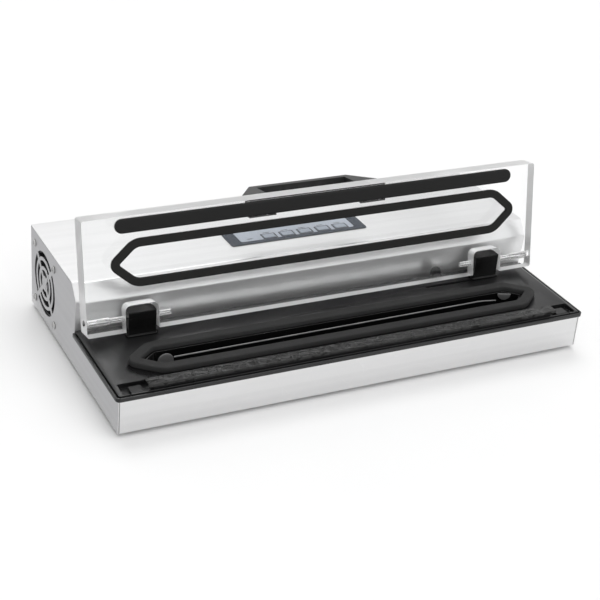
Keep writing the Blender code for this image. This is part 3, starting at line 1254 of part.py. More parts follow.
    def circuit_board(self):
        """Make the main board on its standoffs, with its larger components."""
        low = BASE_Z + SHEET + GAP
        face = low + STANDOFF
        board = self.prism("circuit_board", rectangle(BOARD_X - BOARD_WIDTH / 2, BOARD_X + BOARD_WIDTH / 2,
                           BOARD_Y - BOARD_DEPTH / 2, BOARD_Y + BOARD_DEPTH / 2),
                           face, face + BOARD_THICKNESS, "Z", self.board)
        parts = bmesh.new()
        for side_x in (-1, 1):
            for side_y in (-1, 1):
                x = BOARD_X + side_x * (BOARD_WIDTH / 2 - STANDOFF_INSET)
                y = BOARD_Y + side_y * (BOARD_DEPTH / 2 - STANDOFF_INSET)
                add_prism(parts, circle(x, y, STANDOFF_RADIUS, 8), low, face + BOARD_THICKNESS / 2)
        for x, y, width, depth, height in COMPONENTS:
            add_prism(parts, rectangle(BOARD_X + x - width / 2, BOARD_X + x + width / 2,
                                       BOARD_Y + y - depth / 2,
                      BOARD_Y + y + depth / 2), face + BOARD_THICKNESS / 2, face + BOARD_THICKNESS + height)
        join(board, add_object("board_components", parts, self.cutters))

    def valve(self):
        """Make the release valve with its two barbs."""
        low = BASE_Z + SHEET + GAP
        half = VALVE_SIZE / 2
        body = self.prism("release_valve", rectangle(VALVE_X - half, VALVE_X + half, VALVE_Y - half,
                                                     VALVE_Y + half),
                          low, low + VALVE_HEIGHT, "Z", self.bright)
        soften(body, VALVE_EDGE, 1, 60.0)

    def pump(self):
        """Make the pump: its motor, the cranked shaft and the head."""
        floor = BASE_Z + SHEET + GAP
        motor_left = PUMP_X - MOTOR_LENGTH
        motor = self.prism("pump_motor", circle(PUMP_Y, PUMP_AXIS_Z, MOTOR_RADIUS, 28), motor_left, PUMP_X,
                           "X", self.bright)
        cradle = self.cutter("motor_cradle", rectangle(motor_left + CRADLE_INSET, PUMP_X - CRADLE_INSET,
                               PUMP_Y - CRADLE_HALF, PUMP_Y + CRADLE_HALF),
                             floor, PUMP_AXIS_Z)
        join(motor, cradle)
        cut(motor, self.cutter("motor_bearing", circle(PUMP_Y, PUMP_AXIS_Z, SHAFT_RADIUS + GAP, 16),
                               PUMP_X - MOTOR_BEARING, PUMP_X + MOTOR_BEARING, "X"))
        head_near = PUMP_X + CRANK_ROOM
        head_far = head_near + PUMP_HEAD_LENGTH
        half = PUMP_HEAD_DEPTH / 2
        head = self.prism("pump_head", rectangle(PUMP_Y - half, PUMP_Y + half, floor,
                                                 floor + PUMP_HEAD_HEIGHT),
                          head_near, head_far, "X", self.grey)
        soften(head, PUMP_HEAD_EDGE, 1, 60.0)
        cut(head, self.cutter("head_bearing", circle(PUMP_Y, PUMP_AXIS_Z, SHAFT_RADIUS + GAP, 16),
                              head_near - HEAD_BEARING, head_near + HEAD_BEARING, "X"))
        shaft = self.prism("pump_crank", circle(PUMP_Y, PUMP_AXIS_Z, SHAFT_RADIUS, 16),
                           PUMP_X - MOTOR_BEARING + SHAFT_PLAY,
                           head_near + HEAD_BEARING - SHAFT_PLAY, "X", self.bright)
        join(shaft, self.cutter("crank_disc", circle(PUMP_Y, PUMP_AXIS_Z + CRANK_THROW, CRANK_RADIUS, 24),
                                PUMP_X + DISC_CLEARANCE, head_near - DISC_CLEARANCE, "X"))
        set_origin(shaft, (PUMP_X, PUMP_Y, PUMP_AXIS_Z))

    def vacuum_line(self):
        """Make the hose from the pan's port to the pump."""
        x, y = self.port_place()
        under = self.pan_floor_z() - PORT_DROP - GAP - HOSE_RADIUS
        end_y = PUMP_Y - PUMP_HEAD_DEPTH / 2 - 3 * GAP
        end_x = PUMP_X + CRANK_ROOM + PUMP_HEAD_LENGTH / 2
        path = [(x, y, under), (x + HOSE_LEAD[0], y + HOSE_LEAD[1], under),
                (x + HOSE_BEND[0], y + HOSE_BEND[1], under),
                (end_x - HOSE_TURN, HOUSING_WALL_Y - HOSE_TURN, under),
                (end_x, HOUSING_WALL_Y + HOSE_TURN, under + HOSE_RISE / 3),
                (end_x, end_y - HOSE_RISE, under + HOSE_RISE),
                (end_x, end_y, under + HOSE_RISE)]
        tube(self.pieces, "vacuum_hose", path, HOSE_RADIUS, self.rubber, 10)

    def lid_switch(self):
        """Make the sealed switch under the deck that the striker works."""
        top = DECK_BOTTOM_Z - DECK_STEP_DEPTH - GAP
        y = HOUSING_WALL_Y - SWITCH_FROM_WALL
        half_x = SWITCH_WIDTH / 2
        half_y = SWITCH_DEPTH / 2
        switch = self.prism("lid_switch", rectangle(STRIKER_X - half_x, STRIKER_X + half_x, y - half_y,
                                                    y + half_y),
                            top - SWITCH_HEIGHT, top, "Z", self.black)
        soften(switch, SWITCH_EDGE, 1, 60.0)

    # ------------------------------------------------------------ back fittings
    def back_fittings(self):
        """Make the mains inlet and the rocker switch with its frame."""
        lip = INLET_LIP
        face = BACK_Y + GAP
        half_x = INLET_WIDTH / 2
        half_z = INLET_HEIGHT / 2
        z = BACK_FITTING_Z
        inlet = self.prism("power_inlet", rounded_box(INLET_X - half_x - lip, INLET_X + half_x + lip,
                                                      z - half_z - lip,
                           z + half_z + lip, INLET_CORNER, 3), face, face + FACEPLATE, "Y", self.black)
        join(inlet, self.cutter("inlet_body", rectangle(INLET_X - half_x, INLET_X + half_x, z - half_z,
                                                        z + half_z),
                                BACK_Y - INLET_DEPTH, face + FACEPLATE / 2, "Y"))
        mouth = [(INLET_X - MOUTH_HALF, z - MOUTH_LOW), (INLET_X + MOUTH_HALF, z - MOUTH_LOW),
                 (INLET_X + MOUTH_HALF, z + MOUTH_SHOULDER), (INLET_X + MOUTH_TOP_HALF, z + MOUTH_TOP),
                 (INLET_X - MOUTH_TOP_HALF, z + MOUTH_TOP), (INLET_X - MOUTH_HALF, z + MOUTH_SHOULDER)]
        cut(inlet, self.cutter("inlet_mouth", mouth, BACK_Y - INLET_DEPTH + MOUTH_FLOOR, face + SHEET * 2,
                               "Y"))
        blades = bmesh.new()
        for across, rise in BLADES:
            x = INLET_X + across
            contact = rectangle(x - BLADE_WIDTH / 2, x + BLADE_WIDTH / 2, z + rise - BLADE_HEIGHT / 2,
                                z + rise + BLADE_HEIGHT / 2)
            add_prism(blades, contact, BACK_Y - INLET_DEPTH + MOUTH_FLOOR - 3 * GAP, BACK_Y - BLADE_RECESS,
                      "Y")
        join(inlet, add_object("inlet_blades", blades, self.cutters))
        self.rocker(face, z)

    def rocker(self, face, z):
        """Make the mains switch: a frame in the back panel and a rocker that tips about X."""
        lip = ROCKER_LIP
        half_x = ROCKER_WIDTH / 2
        half_z = ROCKER_HEIGHT / 2
        wall = ROCKER_WALL
        frame = self.prism("rocker_frame", rounded_box(ROCKER_X - half_x - lip, ROCKER_X + half_x + lip,
                                                       z - half_z - lip,
                           z + half_z + lip, ROCKER_CORNER, 3), face, face + FACEPLATE, "Y", self.black)
        join(frame, self.cutter("rocker_body", rectangle(ROCKER_X - half_x, ROCKER_X + half_x, z - half_z,
                                                         z + half_z),
                                BACK_Y - ROCKER_DEPTH, face + FACEPLATE / 2, "Y"))
        cut(frame, self.cutter("rocker_well", rectangle(ROCKER_X - half_x + wall, ROCKER_X + half_x - wall,
                               z - half_z + wall, z + half_z - wall),
                      BACK_Y - ROCKER_DEPTH + ROCKER_FLOOR, face + SHEET * 2, "Y"))
        axis_y = BACK_Y - ROCKER_AXIS_DEPTH
        reach = half_z - wall - ROCKER_CLEARANCE
        heel = reach * ROCKER_HEEL_SHARE
        rise = ROCKER_RISE
        crest = ROCKER_CREST
        outline = []
        for y, height in ((-ROCKER_HEEL, -heel), (-ROCKER_HEEL, heel), (rise, reach), (crest, reach), (rise,
                                                                                                       0.0),
                          (crest, -reach), (rise, -reach)):
            outline.append((axis_y + y, z + height))
        near = ROCKER_X - half_x + wall + ROCKER_SIDE_CLEARANCE
        far = ROCKER_X + half_x - wall - ROCKER_SIDE_CLEARANCE
        rocker = self.prism("power_rocker", outline, near, far, "X", self.black)
        soften(rocker, ROCKER_EDGE, 1, 25.0)
        axis = Matrix.Translation((0.0, axis_y, z))
        turn = axis @ Matrix.Rotation(ROCKER_ANGLE / 2, 4, "X") @ axis.inverted()
        rocker.data.transform(turn)
        set_origin(rocker, (ROCKER_X, axis_y, z))

    def build(self):
        """Make every piece."""
        self.base_plate()
        self.feet()
        self.side_panels()
        self.front_panel()
        self.top_cover()
        self.rear_panel()
        self.deck()
        self.lower_gasket()
        self.chamber_pan()
        self.drip_tray()
        self.tray_fittings()
        self.seal_bar()
        self.hinge()
        self.lid()
        self.lid_seals()
        self.handle()
        self.control_panel()
        self.fan()
        self.transformer()
        self.circuit_board()
        self.valve()
        self.pump()
        self.vacuum_line()
        self.lid_switch()
        self.back_fittings()


def add_turned(shape, profile, centre, axis, steps):
    """Add a turned body: the profile gives radius and height, and starts and ends on the axis."""
    turn = frame_for(axis)
    move = Matrix.Translation(centre)
    rings = []
    for radius, height in profile:
        if radius <= 0.0:
            rings.append([shape.verts.new(move @ turn @ Vector((0.0, 0.0, height)))])
            continue
        ring = []
        for step in range(steps):
            spin = 2 * math.pi * step / steps
            ring.append(shape.verts.new(move @ turn @ Vector((radius * math.cos(spin), radius * math.sin(spin), height))))
        rings.append(ring)
    for below, above in zip(rings, rings[1:]):
        for step in range(steps):
            after = (step + 1) % steps
            if len(below) == 1:
                shape.faces.new((below[0], above[step], above[after]))
            elif len(above) == 1:
                shape.faces.new((below[step], below[after], above[0]))
            else:
                shape.faces.new((below[step], below[after], above[after], above[step]))


def add_lofted(shape, loops, floor_index):
    """Add a cup from matching loops, closed on itself, with floors after and before the given loop."""
    rings = [[shape.verts.new(point) for point in loop] for loop in loops]
    count = len(rings[0])
    total = len(rings)
    for index in range(total):
        if index == floor_index:
            continue
        below = rings[index]
        above = rings[(index + 1) % total]
        for step in range(count):
            after = (step + 1) % count
            shape.faces.new((below[step], below[after], above[after], above[step]))
    shape.faces.new(rings[floor_index])
    shape.faces.new(rings[(floor_index + 1) % total])


def add_lofted_block(shape, sections):
    """Add a closed body through flat outlines with the same number of points, from the bottom up."""
    levels = []
    for outline, height in sections:
        levels.append([shape.verts.new((x, y, height)) for x, y in outline])
    count = len(levels[0])
    for low, high in zip(levels, levels[1:]):
        for index in range(count):
            after = (index + 1) % count
            shape.faces.new((low[index], low[after], high[after], high[index]))
    shape.faces.new(levels[0])
    shape.faces.new(levels[-1])


def add_skin(shape, loops):
    """Add a closed skin through matching loops, capped at both ends."""
    rings = [[shape.verts.new(point) for point in loop] for loop in loops]
    count = len(rings[0])
    for below, above in zip(rings, rings[1:]):
        for step in range(count):
            after = (step + 1) % count
            shape.faces.new((below[step], below[after], above[after], above[step]))
    shape.faces.new(rings[0])
    shape.faces.new(rings[-1])


def blade_section(radius, chord, pitch, thick, spin, middle, depth_limit):
    """Return one section of a fan blade as points round its edge."""
    reach = chord / 2
    rise = min(reach * math.sin(pitch), depth_limit / 2)
    run = reach * math.cos(pitch)
    points = []
    for along, side in ((-1, -1), (1, -1), (1, 1), (-1, 1)):
        swing = spin + along * run / radius
        depth = middle + along * rise + side * thick / 2
        points.append((depth, FAN_Y + radius * math.cos(swing), FAN_Z + radius * math.sin(swing)))
    return points


def arc_slot(centre_x, centre_y, outer, inner, quarter, spoke, steps):
    """Return one quarter-ring slot, kept clear of the spokes between the quarters."""
    start = math.pi / 4 + quarter * math.pi / 2
    points = []
    for radius, order in ((outer, range(steps + 1)), (inner, range(steps, -1, -1))):
        trim = math.asin(min(0.9, spoke / 2 / radius))
        low = start + trim
        high = start + math.pi / 2 - trim
        for step in order:
            swing = low + (high - low) * step / steps
            points.append((centre_x + radius * math.cos(swing), centre_y + radius * math.sin(swing)))
    return points


def offset_path(points, distance):
    """Return an open path moved sideways by a distance, with its corners mitred."""
    moved = []
    for index, point in enumerate(points):
        here = Vector(point)
        normals = []
        if index > 0:
            step = (here - Vector(points[index - 1])).normalized()
            normals.append(Vector((-step.y, step.x)))
        if index < len(points) - 1:
            step = (Vector(points[index + 1]) - here).normalized()
            normals.append(Vector((-step.y, step.x)))
        if len(normals) == 2:
            middle = (normals[0] + normals[1]).normalized()
            moved.append(tuple(here + middle * (distance / middle.dot(normals[0]))))
        else:
            moved.append(tuple(here + normals[0] * distance))
    return moved


def tube(group, name, path, radius, finish, sides, smoothing=4):
    """Make a capped round tube along a path, smoothed between its points."""
    points = smooth_path([Vector(point) for point in path], smoothing)
    shape = bmesh.new()
    loops = []
    side = None
    for index, point in enumerate(points):
        before = points[max(index - 1, 0)]
        after = points[min(index + 1, len(points) - 1)]
        ahead = (after - before).normalized()
        if side is None:
            side = ahead.cross(Vector((0.0, 0.0, 1.0))).normalized()
        side = (side - ahead * side.dot(ahead)).normalized()
        lift = ahead.cross(side)
        loop = []
        for step in range(sides):
            spin = 2 * math.pi * step / sides
            loop.append(point + side * (radius * math.cos(spin)) + lift * (radius * math.sin(spin)))
        loops.append(loop)
    add_skin(shape, loops)
    return add_object(name, shape, group, finish)


def smooth_path(points, steps):
    """Return a smooth path through the points."""
    path = []
    last = len(points) - 1
    for index in range(last):
        before = points[max(index - 1, 0)]
        start = points[index]
        end = points[index + 1]
        after = points[min(index + 2, last)]
        for step in range(steps):
            t = step / steps
            path.append(0.5 * ((2 * start) + (end - before) * t + (2 * before - 5 * start + 4 * end - after) * t * t
                               + (3 * start - before - 3 * end + after) * t * t * t))
    path.append(points[-1])
    return path


clear_scene()
Builder().build()
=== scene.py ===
"""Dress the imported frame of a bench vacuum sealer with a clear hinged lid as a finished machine."""

import json
import logging
import math
from dataclasses import dataclass, field
from enum import Enum

import bmesh
import bpy
from mathutils import Matrix, Vector, noise

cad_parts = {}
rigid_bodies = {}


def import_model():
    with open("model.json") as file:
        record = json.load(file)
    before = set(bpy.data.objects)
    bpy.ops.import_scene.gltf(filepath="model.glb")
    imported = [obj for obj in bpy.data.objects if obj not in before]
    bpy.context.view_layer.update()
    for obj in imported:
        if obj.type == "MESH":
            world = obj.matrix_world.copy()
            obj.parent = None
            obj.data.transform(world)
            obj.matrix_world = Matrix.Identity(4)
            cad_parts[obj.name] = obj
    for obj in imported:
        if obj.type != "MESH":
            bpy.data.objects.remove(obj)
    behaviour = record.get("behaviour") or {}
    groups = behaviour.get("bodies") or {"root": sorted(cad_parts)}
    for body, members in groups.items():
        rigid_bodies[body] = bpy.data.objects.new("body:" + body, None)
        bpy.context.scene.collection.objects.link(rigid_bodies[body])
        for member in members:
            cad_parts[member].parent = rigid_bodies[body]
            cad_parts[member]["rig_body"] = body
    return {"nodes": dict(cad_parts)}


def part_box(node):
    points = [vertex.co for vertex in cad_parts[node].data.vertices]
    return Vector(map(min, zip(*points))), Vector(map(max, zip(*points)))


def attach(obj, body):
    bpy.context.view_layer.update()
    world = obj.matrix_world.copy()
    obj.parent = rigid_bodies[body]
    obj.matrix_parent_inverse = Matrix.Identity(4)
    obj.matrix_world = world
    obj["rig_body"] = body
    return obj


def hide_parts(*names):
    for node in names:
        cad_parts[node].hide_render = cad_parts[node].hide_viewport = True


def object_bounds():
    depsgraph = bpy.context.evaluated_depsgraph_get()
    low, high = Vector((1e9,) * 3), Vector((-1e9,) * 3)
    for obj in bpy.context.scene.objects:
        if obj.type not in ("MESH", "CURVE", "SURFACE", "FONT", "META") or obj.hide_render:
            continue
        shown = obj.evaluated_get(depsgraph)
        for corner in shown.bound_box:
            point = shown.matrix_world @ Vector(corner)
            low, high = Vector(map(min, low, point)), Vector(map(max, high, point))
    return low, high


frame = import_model()
CAD_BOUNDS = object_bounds()
LOG = logging.getLogger("vacuum_sealer")

Point = tuple[float, float]
Outline = list[Point]
Colour = tuple[float, float, float]
Socket = bpy.types.NodeSocket
Node = bpy.types.Node
Group = bpy.types.NodeTree
Piece = bpy.types.Object

PALE_DUST = (0.42, 0.41, 0.39)
GREY_DUST = (0.4, 0.4, 0.38)
WELD = 0.000002
FLAT_ANGLE = math.radians(0.4)
FOLD_ANGLES = (math.radians(14.0), math.radians(70.0))


class Axis(Enum):
    """The direction that a shape is extruded or brushed along."""

    X = "X"
    Y = "Y"
    Z = "Z"


class Slot(Enum):
    """The record's material slots."""

    CASE_STEEL = "case_steel"
    DECK = "deck_plastic"
    GASKET = "gasket_foam"
    PAD = "pad_rubber"
    ACRYLIC = "lid_acrylic"
    HANDLE = "handle_plastic"
    HINGE = "hinge_plastic"
    PIN = "pin_steel"
    TRAY = "tray_plastic"
    TAB = "tab_grey"
    WIRE = "wire_steel"
    TAPE = "tape_ptfe"
    BAND = "band_metal"
    SLATE = "panel_slate"
    OVERLAY = "panel_overlay"
    BUTTON = "button_plastic"
    FAN = "fan_plastic"
    SCREW = "screw_steel"
    FOOT = "foot_rubber"
    BOARD = "board_green"
    COPPER = "coil_copper"
    IRON = "core_iron"
    MOTOR = "motor_metal"
    VALVE = "valve_metal"
    HOSE = "hose_rubber"
    INLET = "inlet_plastic"
    ROCKER = "rocker_plastic"


class Effect(Enum):
    """The surface effects that several finishes share."""

    EDGE_WEAR = "edge_wear"
    BRUSHING = "brushing"
    CLOUDING = "clouding"
    STIPPLE = "stipple"
    PORES = "pores"
    DUST = "dust"
    WEAVE = "weave"
    SCRATCHES = "scratches"
    # painted shade in seams and inner corners, found by ambient occlusion
    CREVICE_SHADE = "grime"
    CRINKLE = "crinkle"


# ------------------------------------------------------------------ node trees
class Tree:
    """A node tree being wired, with short calls for what the finishes use most."""

    def __init__(self, tree: Group) -> None:
        """Keep the tree of a material, a world or a group, and forget what it held."""
        self.tree = tree
        self.tree.nodes.clear()

    def add(self, kind: str, inputs: dict | None = None, **settings: object) -> Node:
        """Add a node, set its options and fill its inputs.

        Args:
            kind: the node's type name.
            inputs: a value or a socket to link, for each input's name or number.
            settings: attributes of the node.

        Returns:
            The new node.
        """
        node = self.tree.nodes.new(kind)
        for name, value in settings.items():
            setattr(node, name, value)
        for key, value in (inputs or {}).items():
            self.fill(node.inputs[key], value)
        return node

    def fill(self, socket: Socket, value: object) -> None:
        """Link a socket to an input, or set the input to a plain value.

        Args:
            socket: the input.
            value: a socket, a number or a tuple.
        """
        if isinstance(value, Socket):
            self.tree.links.new(value, socket)
        elif isinstance(value, tuple) and len(value) == 3 and socket.type == "RGBA":
            socket.default_value = (*value, 1.0)
        else:
            socket.default_value = value

    def scaled(self, value: Socket, low: float, high: float, start: float = 0.0, end: float = 1.0) -> Socket:
        """Return a value moved from the range low to high to the range start to end, held inside it."""
        inputs = {0: value, 1: low, 2: high, 3: start, 4: end}
        return self.add("ShaderNodeMapRange", inputs).outputs[0]

    def between(self, mask: Socket, low: float, high: float) -> Socket:
        """Return a mask spread over a range."""
        return self.scaled(mask, 0.0, 1.0, low, high)

    def maths(self, operation: str, first: object, second: object) -> Socket:
        """Return the result of a sum on two values, held between 0 and 1."""
        inputs = {0: first, 1: second}
        return self.add("ShaderNodeMath", inputs, operation=operation, use_clamp=True).outputs[0]

    def times(self, first: object, second: object) -> Socket:
        """Return the product of two values, held between 0 and 1."""
        return self.maths("MULTIPLY", first, second)

    def noise(self, place: Socket, scale: object, detail: float, **inputs: float) -> Socket:
        """Return a noise texture's value."""
        given = {"Vector": place, "Scale": scale, "Detail": detail, **inputs}
        return self.add("ShaderNodeTexNoise", given).outputs[0]

    def cells(self, place: Socket, scale: object, feature: str) -> Socket:
        """Return a cell texture's distances."""
        given = {"Vector": place, "Scale": scale}
        return self.add("ShaderNodeTexVoronoi", given, feature=feature).outputs["Distance"]

    def blended(self, factor: object, first: object, second: object) -> Socket:
        """Return a colour between two, by how far it is towards the second."""
        return self.add("ShaderNodeMix", {0: factor, 6: first, 7: second}, data_type="RGBA").outputs[2]

    def place(self) -> Socket:
        """Return the place on the object, in its own frame."""
        return self.add("ShaderNodeTexCoord").outputs["Object"]

    def bumped(self, height: Socket, distance: float, normal: object = None) -> Socket:
        """Return a normal roughened by a height.

        Args:
            height: the height socket.
            distance: the height of a full step, in metres.
            normal: the normal to start from, if there is one.

        Returns:
            The normal socket.
        """
        inputs = {"Height": height, "Strength": 1.0, "Distance": distance}
        if normal is not None:
            inputs["Normal"] = normal
        return self.add("ShaderNodeBump", inputs).outputs[0]

    def show(self, surface: Socket, kind: str = "ShaderNodeOutputMaterial") -> None:
        """Send a shader to the tree's output."""
        self.add(kind, {"Surface": surface})


def new_material(name: str) -> tuple[bpy.types.Material, Tree]:
    """Return an empty material and its tree."""
    made = bpy.data.materials.new(name)
    made.use_nodes = True
    return made, Tree(made.node_tree)


class Effects:
    """Builds each shared effect once, as a node group, and places it where it is asked for."""

    def __init__(self) -> None:
        """Start with no groups made."""
        self.groups: dict[Effect, Group] = {}

    def use(self, tree: Tree, effect: Effect, **values: object) -> dict[str, Socket]:
        """Place an effect in a tree.

        Args:
            tree: where the effect goes.
            effect: which effect.
            values: the group's inputs, by name.

        Returns:
            The group's outputs, by name.
        """
        if effect not in self.groups:
            self.groups[effect] = getattr(self, "make_" + effect.value)()
        node = tree.add("ShaderNodeGroup", values, node_tree=self.groups[effect])
        return {socket.name: socket for socket in node.outputs}

    def start(self, effect: Effect, **inputs: float) -> tuple[Tree, dict[str, Socket]]:
        """Make a group with its number inputs.

        Args:
            effect: the effect that the group is named for.
            inputs: what each input holds at first.

        Returns:
            The tree, and its input sockets by name.
        """
        group = bpy.data.node_groups.new("effect_" + effect.value, "ShaderNodeTree")
        for name, value in inputs.items():
            socket = group.interface.new_socket(name=name, in_out="INPUT", socket_type="NodeSocketFloat")
            socket.default_value = value
        tree = Tree(group)
        given = tree.add("NodeGroupInput")
        return tree, {socket.name: socket for socket in given.outputs}

    def end(self, tree: Tree, **results: Socket) -> Group:
        """Give a group its outputs.

        Args:
            tree: the group's tree.
            results: what each output takes; one called Normal is a vector, and the others are numbers.

        Returns:
            The group.
        """
        for name in results:
            kind = "NodeSocketVector" if name == "Normal" else "NodeSocketFloat"
            tree.tree.interface.new_socket(name=name, in_out="OUTPUT", socket_type=kind)
        tree.add("NodeGroupOutput", results)
        return tree.tree

    def make_edge_wear(self) -> Group:
        """Return the group that softens edges and finds where handling has rubbed them."""
        tree, given = self.start(Effect.EDGE_WEAR, Radius=0.0006, Break=220.0)
        soft = tree.add("ShaderNodeBevel", {"Radius": given["Radius"]}, samples=4).outputs[0]
        flat = tree.add("ShaderNodeNewGeometry").outputs["Normal"]
        lean = tree.add("ShaderNodeVectorMath", {0: soft, 1: flat}, operation="DOT_PRODUCT")
        edge = tree.scaled(lean.outputs["Value"], 0.998, 0.93)
        worn = tree.scaled(tree.noise(tree.place(), given["Break"], 4.0), 0.42, 0.62)
        return self.end(tree, Mask=tree.times(edge, worn), Normal=soft)

    def make_brushing(self) -> Group:
        """Return the group that draws long fine brush lines, with the scale set along each axis."""
        scales = {"Scale X": 4.0, "Scale Y": 900.0, "Scale Z": 900.0}
        tree, given = self.start(Effect.BRUSHING, **scales)
        scale = tree.add("ShaderNodeCombineXYZ", {number: given[name] for number, name in enumerate(scales)})
        inputs = {0: tree.place(), 1: scale.outputs[0]}
        drawn = tree.add("ShaderNodeVectorMath", inputs, operation="MULTIPLY").outputs[0]
        fine = tree.noise(drawn, 1.0, 5.0, Roughness=0.65)
        broad = tree.noise(drawn, 0.11, 2.0)
        return self.end(tree, Height=fine, Mask=tree.scaled(broad, 0.35, 0.65))

    def make_clouding(self) -> Group:
        """Return the group that gives a slow, uneven tone."""
        tree, given = self.start(Effect.CLOUDING, Scale=12.0)
        return self.end(tree, Mask=tree.scaled(tree.noise(tree.place(), given["Scale"], 3.0), 0.3, 0.7))

    def make_stipple(self) -> Group:
        """Return the group that gives the fine texture of a moulding tool."""
        tree, given = self.start(Effect.STIPPLE, Scale=1800.0)
        place = tree.place()
        cells = tree.cells(place, given["Scale"], "SMOOTH_F1")
        grain = tree.noise(place, given["Scale"], 2.0)
        return self.end(tree, Height=tree.times(cells, grain))

    def make_pores(self) -> Group:
        """Return the group that gives the closed cells of sponge rubber."""
        tree, given = self.start(Effect.PORES, Scale=1400.0)
        place = tree.place()
        pit = tree.scaled(tree.cells(place, given["Scale"], "F1"), 0.12, 0.42, 1.0, 0.0)
        blotch = tree.noise(place, 160.0, 3.0)
        height = tree.maths("SUBTRACT", 1.0, pit)
        return self.end(tree, Height=height, Mask=tree.times(pit, blotch))

    def make_dust(self) -> Group:
        """Return the group that scatters pale specks, mostly on faces that look up."""
        tree, given = self.start(Effect.DUST, Scale=420.0, Amount=0.5)
        place = tree.place()
        speck = tree.scaled(tree.cells(place, given["Scale"], "F1"), 0.05, 0.12, 1.0, 0.0)
        gathered = tree.scaled(tree.noise(place, 24.0, 4.0), 0.5, 0.7)
        up = tree.add("ShaderNodeSeparateXYZ", {0: tree.add("ShaderNodeNewGeometry").outputs["Normal"]})
        settled = tree.between(up.outputs[2], 0.15, 1.0)
        layer = tree.times(tree.times(speck, gathered), settled)
        return self.end(tree, Mask=tree.times(layer, given["Amount"]))

    def make_weave(self) -> Group:
        """Return the group that gives the threads of coated glass cloth."""
        tree, given = self.start(Effect.WEAVE, Scale=1900.0)
        inputs = {"Vector": tree.place(), "Scale": given["Scale"]}
        threads = []
        for way in ("X", "Y"):
            settings = {"wave_type": "BANDS", "wave_profile": "SIN", "bands_direction": way}
            threads.append(tree.add("ShaderNodeTexWave", inputs, **settings).outputs["Fac"])
        height = tree.maths("MAXIMUM", *threads)
        return self.end(tree, Height=height, Mask=tree.times(*threads))

    def make_scratches(self) -> Group:
        """Return the group that gives thin crossing hairlines."""
        tree, given = self.start(Effect.SCRATCHES, Scale=26.0, Amount=0.5)
        bent = tree.add("ShaderNodeTexNoise", {"Vector": tree.place(), "Scale": 5.0, "Detail": 2.0})
        lines = tree.cells(bent.outputs["Color"], given["Scale"], "DISTANCE_TO_EDGE")
        thin = tree.scaled(lines, 0.0, 0.012, 1.0, 0.0)
        return self.end(tree, Mask=tree.times(thin, given["Amount"]))

    def make_grime(self) -> Group:
        """Return the group that finds seams and inner corners by ambient occlusion, as the mask for painted
        shade there.
        """
        tree, given = self.start(Effect.CREVICE_SHADE, Reach=0.0015)
        near = tree.add("ShaderNodeAmbientOcclusion", {"Distance": given["Reach"]}, samples=6)
        return self.end(tree, Mask=tree.scaled(near.outputs["AO"], 0.35, 0.85, 1.0, 0.0))

    def make_crinkle(self) -> Group:
        """Return the group that gives the shallow creases of a thin film drawn over cloth."""
        tree, given = self.start(Effect.CRINKLE, Scale=90.0)
        place = tree.place()
        bent = tree.noise(place, given["Scale"], 3.0, Distortion=1.4)
        fold = tree.scaled(tree.cells(place, given["Scale"], "DISTANCE_TO_EDGE"), 0.0, 0.22)
        return self.end(tree, Height=tree.times(bent, fold))


# ------------------------------------------------------------------ finishes
class Coat:
    """A material being wired: its tree, its shader and the effects it may use."""

    def __init__(self, name: str, effects: Effects) -> None:
        """Start a material.

        Args:
            name: the material's name.
            effects: the shared effects.
        """
        self.material, self.tree = new_material(name)
        self.shader = self.tree.add("ShaderNodeBsdfPrincipled")
        self.effects = effects

    def effect(self, effect: Effect, **values: object) -> dict[str, Socket]:
        """Place a shared effect and return its outputs."""
        return self.effects.use(self.tree, effect, **values)

    def mask(self, effect: Effect, **values: object) -> Socket:
        """Place a shared effect and return its mask."""
        return self.effect(effect, **values)["Mask"]

    def settle(self, name: str, value: object) -> None:
        """Set one of the shader's own sockets."""
        self.shader.inputs[name].default_value = value

    def finished(self, tone: Socket, rough: Socket, normal: Socket) -> Socket:
        """Fill the shader's colour, roughness and normal.

        Args:
            tone: the colour.
            rough: the roughness.
            normal: the normal.

        Returns:
            The shader's output.
        """
        for name, socket in (("Base Color", tone), ("Roughness", rough), ("Normal", normal)):
            self.tree.fill(self.shader.inputs[name], socket)
        return self.shader.outputs[0]


@dataclass(frozen=True)
class Finish:
    """What a surface is made of; each kind wires its own shader."""

    name: str
    tone: Colour

    def build(self, effects: Effects) -> bpy.types.Material:
        """Return the finish as a material.

        Args:
            effects: the shared effects.

        Returns:
            The material, wired.
        """
        coat = Coat(self.name, effects)
        coat.tree.show(self.wire(coat))
        return coat.material

    def wire(self, coat: Coat) -> Socket:
        """Wire the shader; each kind of finish has its own way.

        Args:
            coat: the material being wired.

        Returns:
            What goes to the output.
        """
        raise NotImplementedError

    def darker(self, share: float) -> Colour:
        """Return the tone scaled by a share."""
        return tuple(channel * share for channel in self.tone)


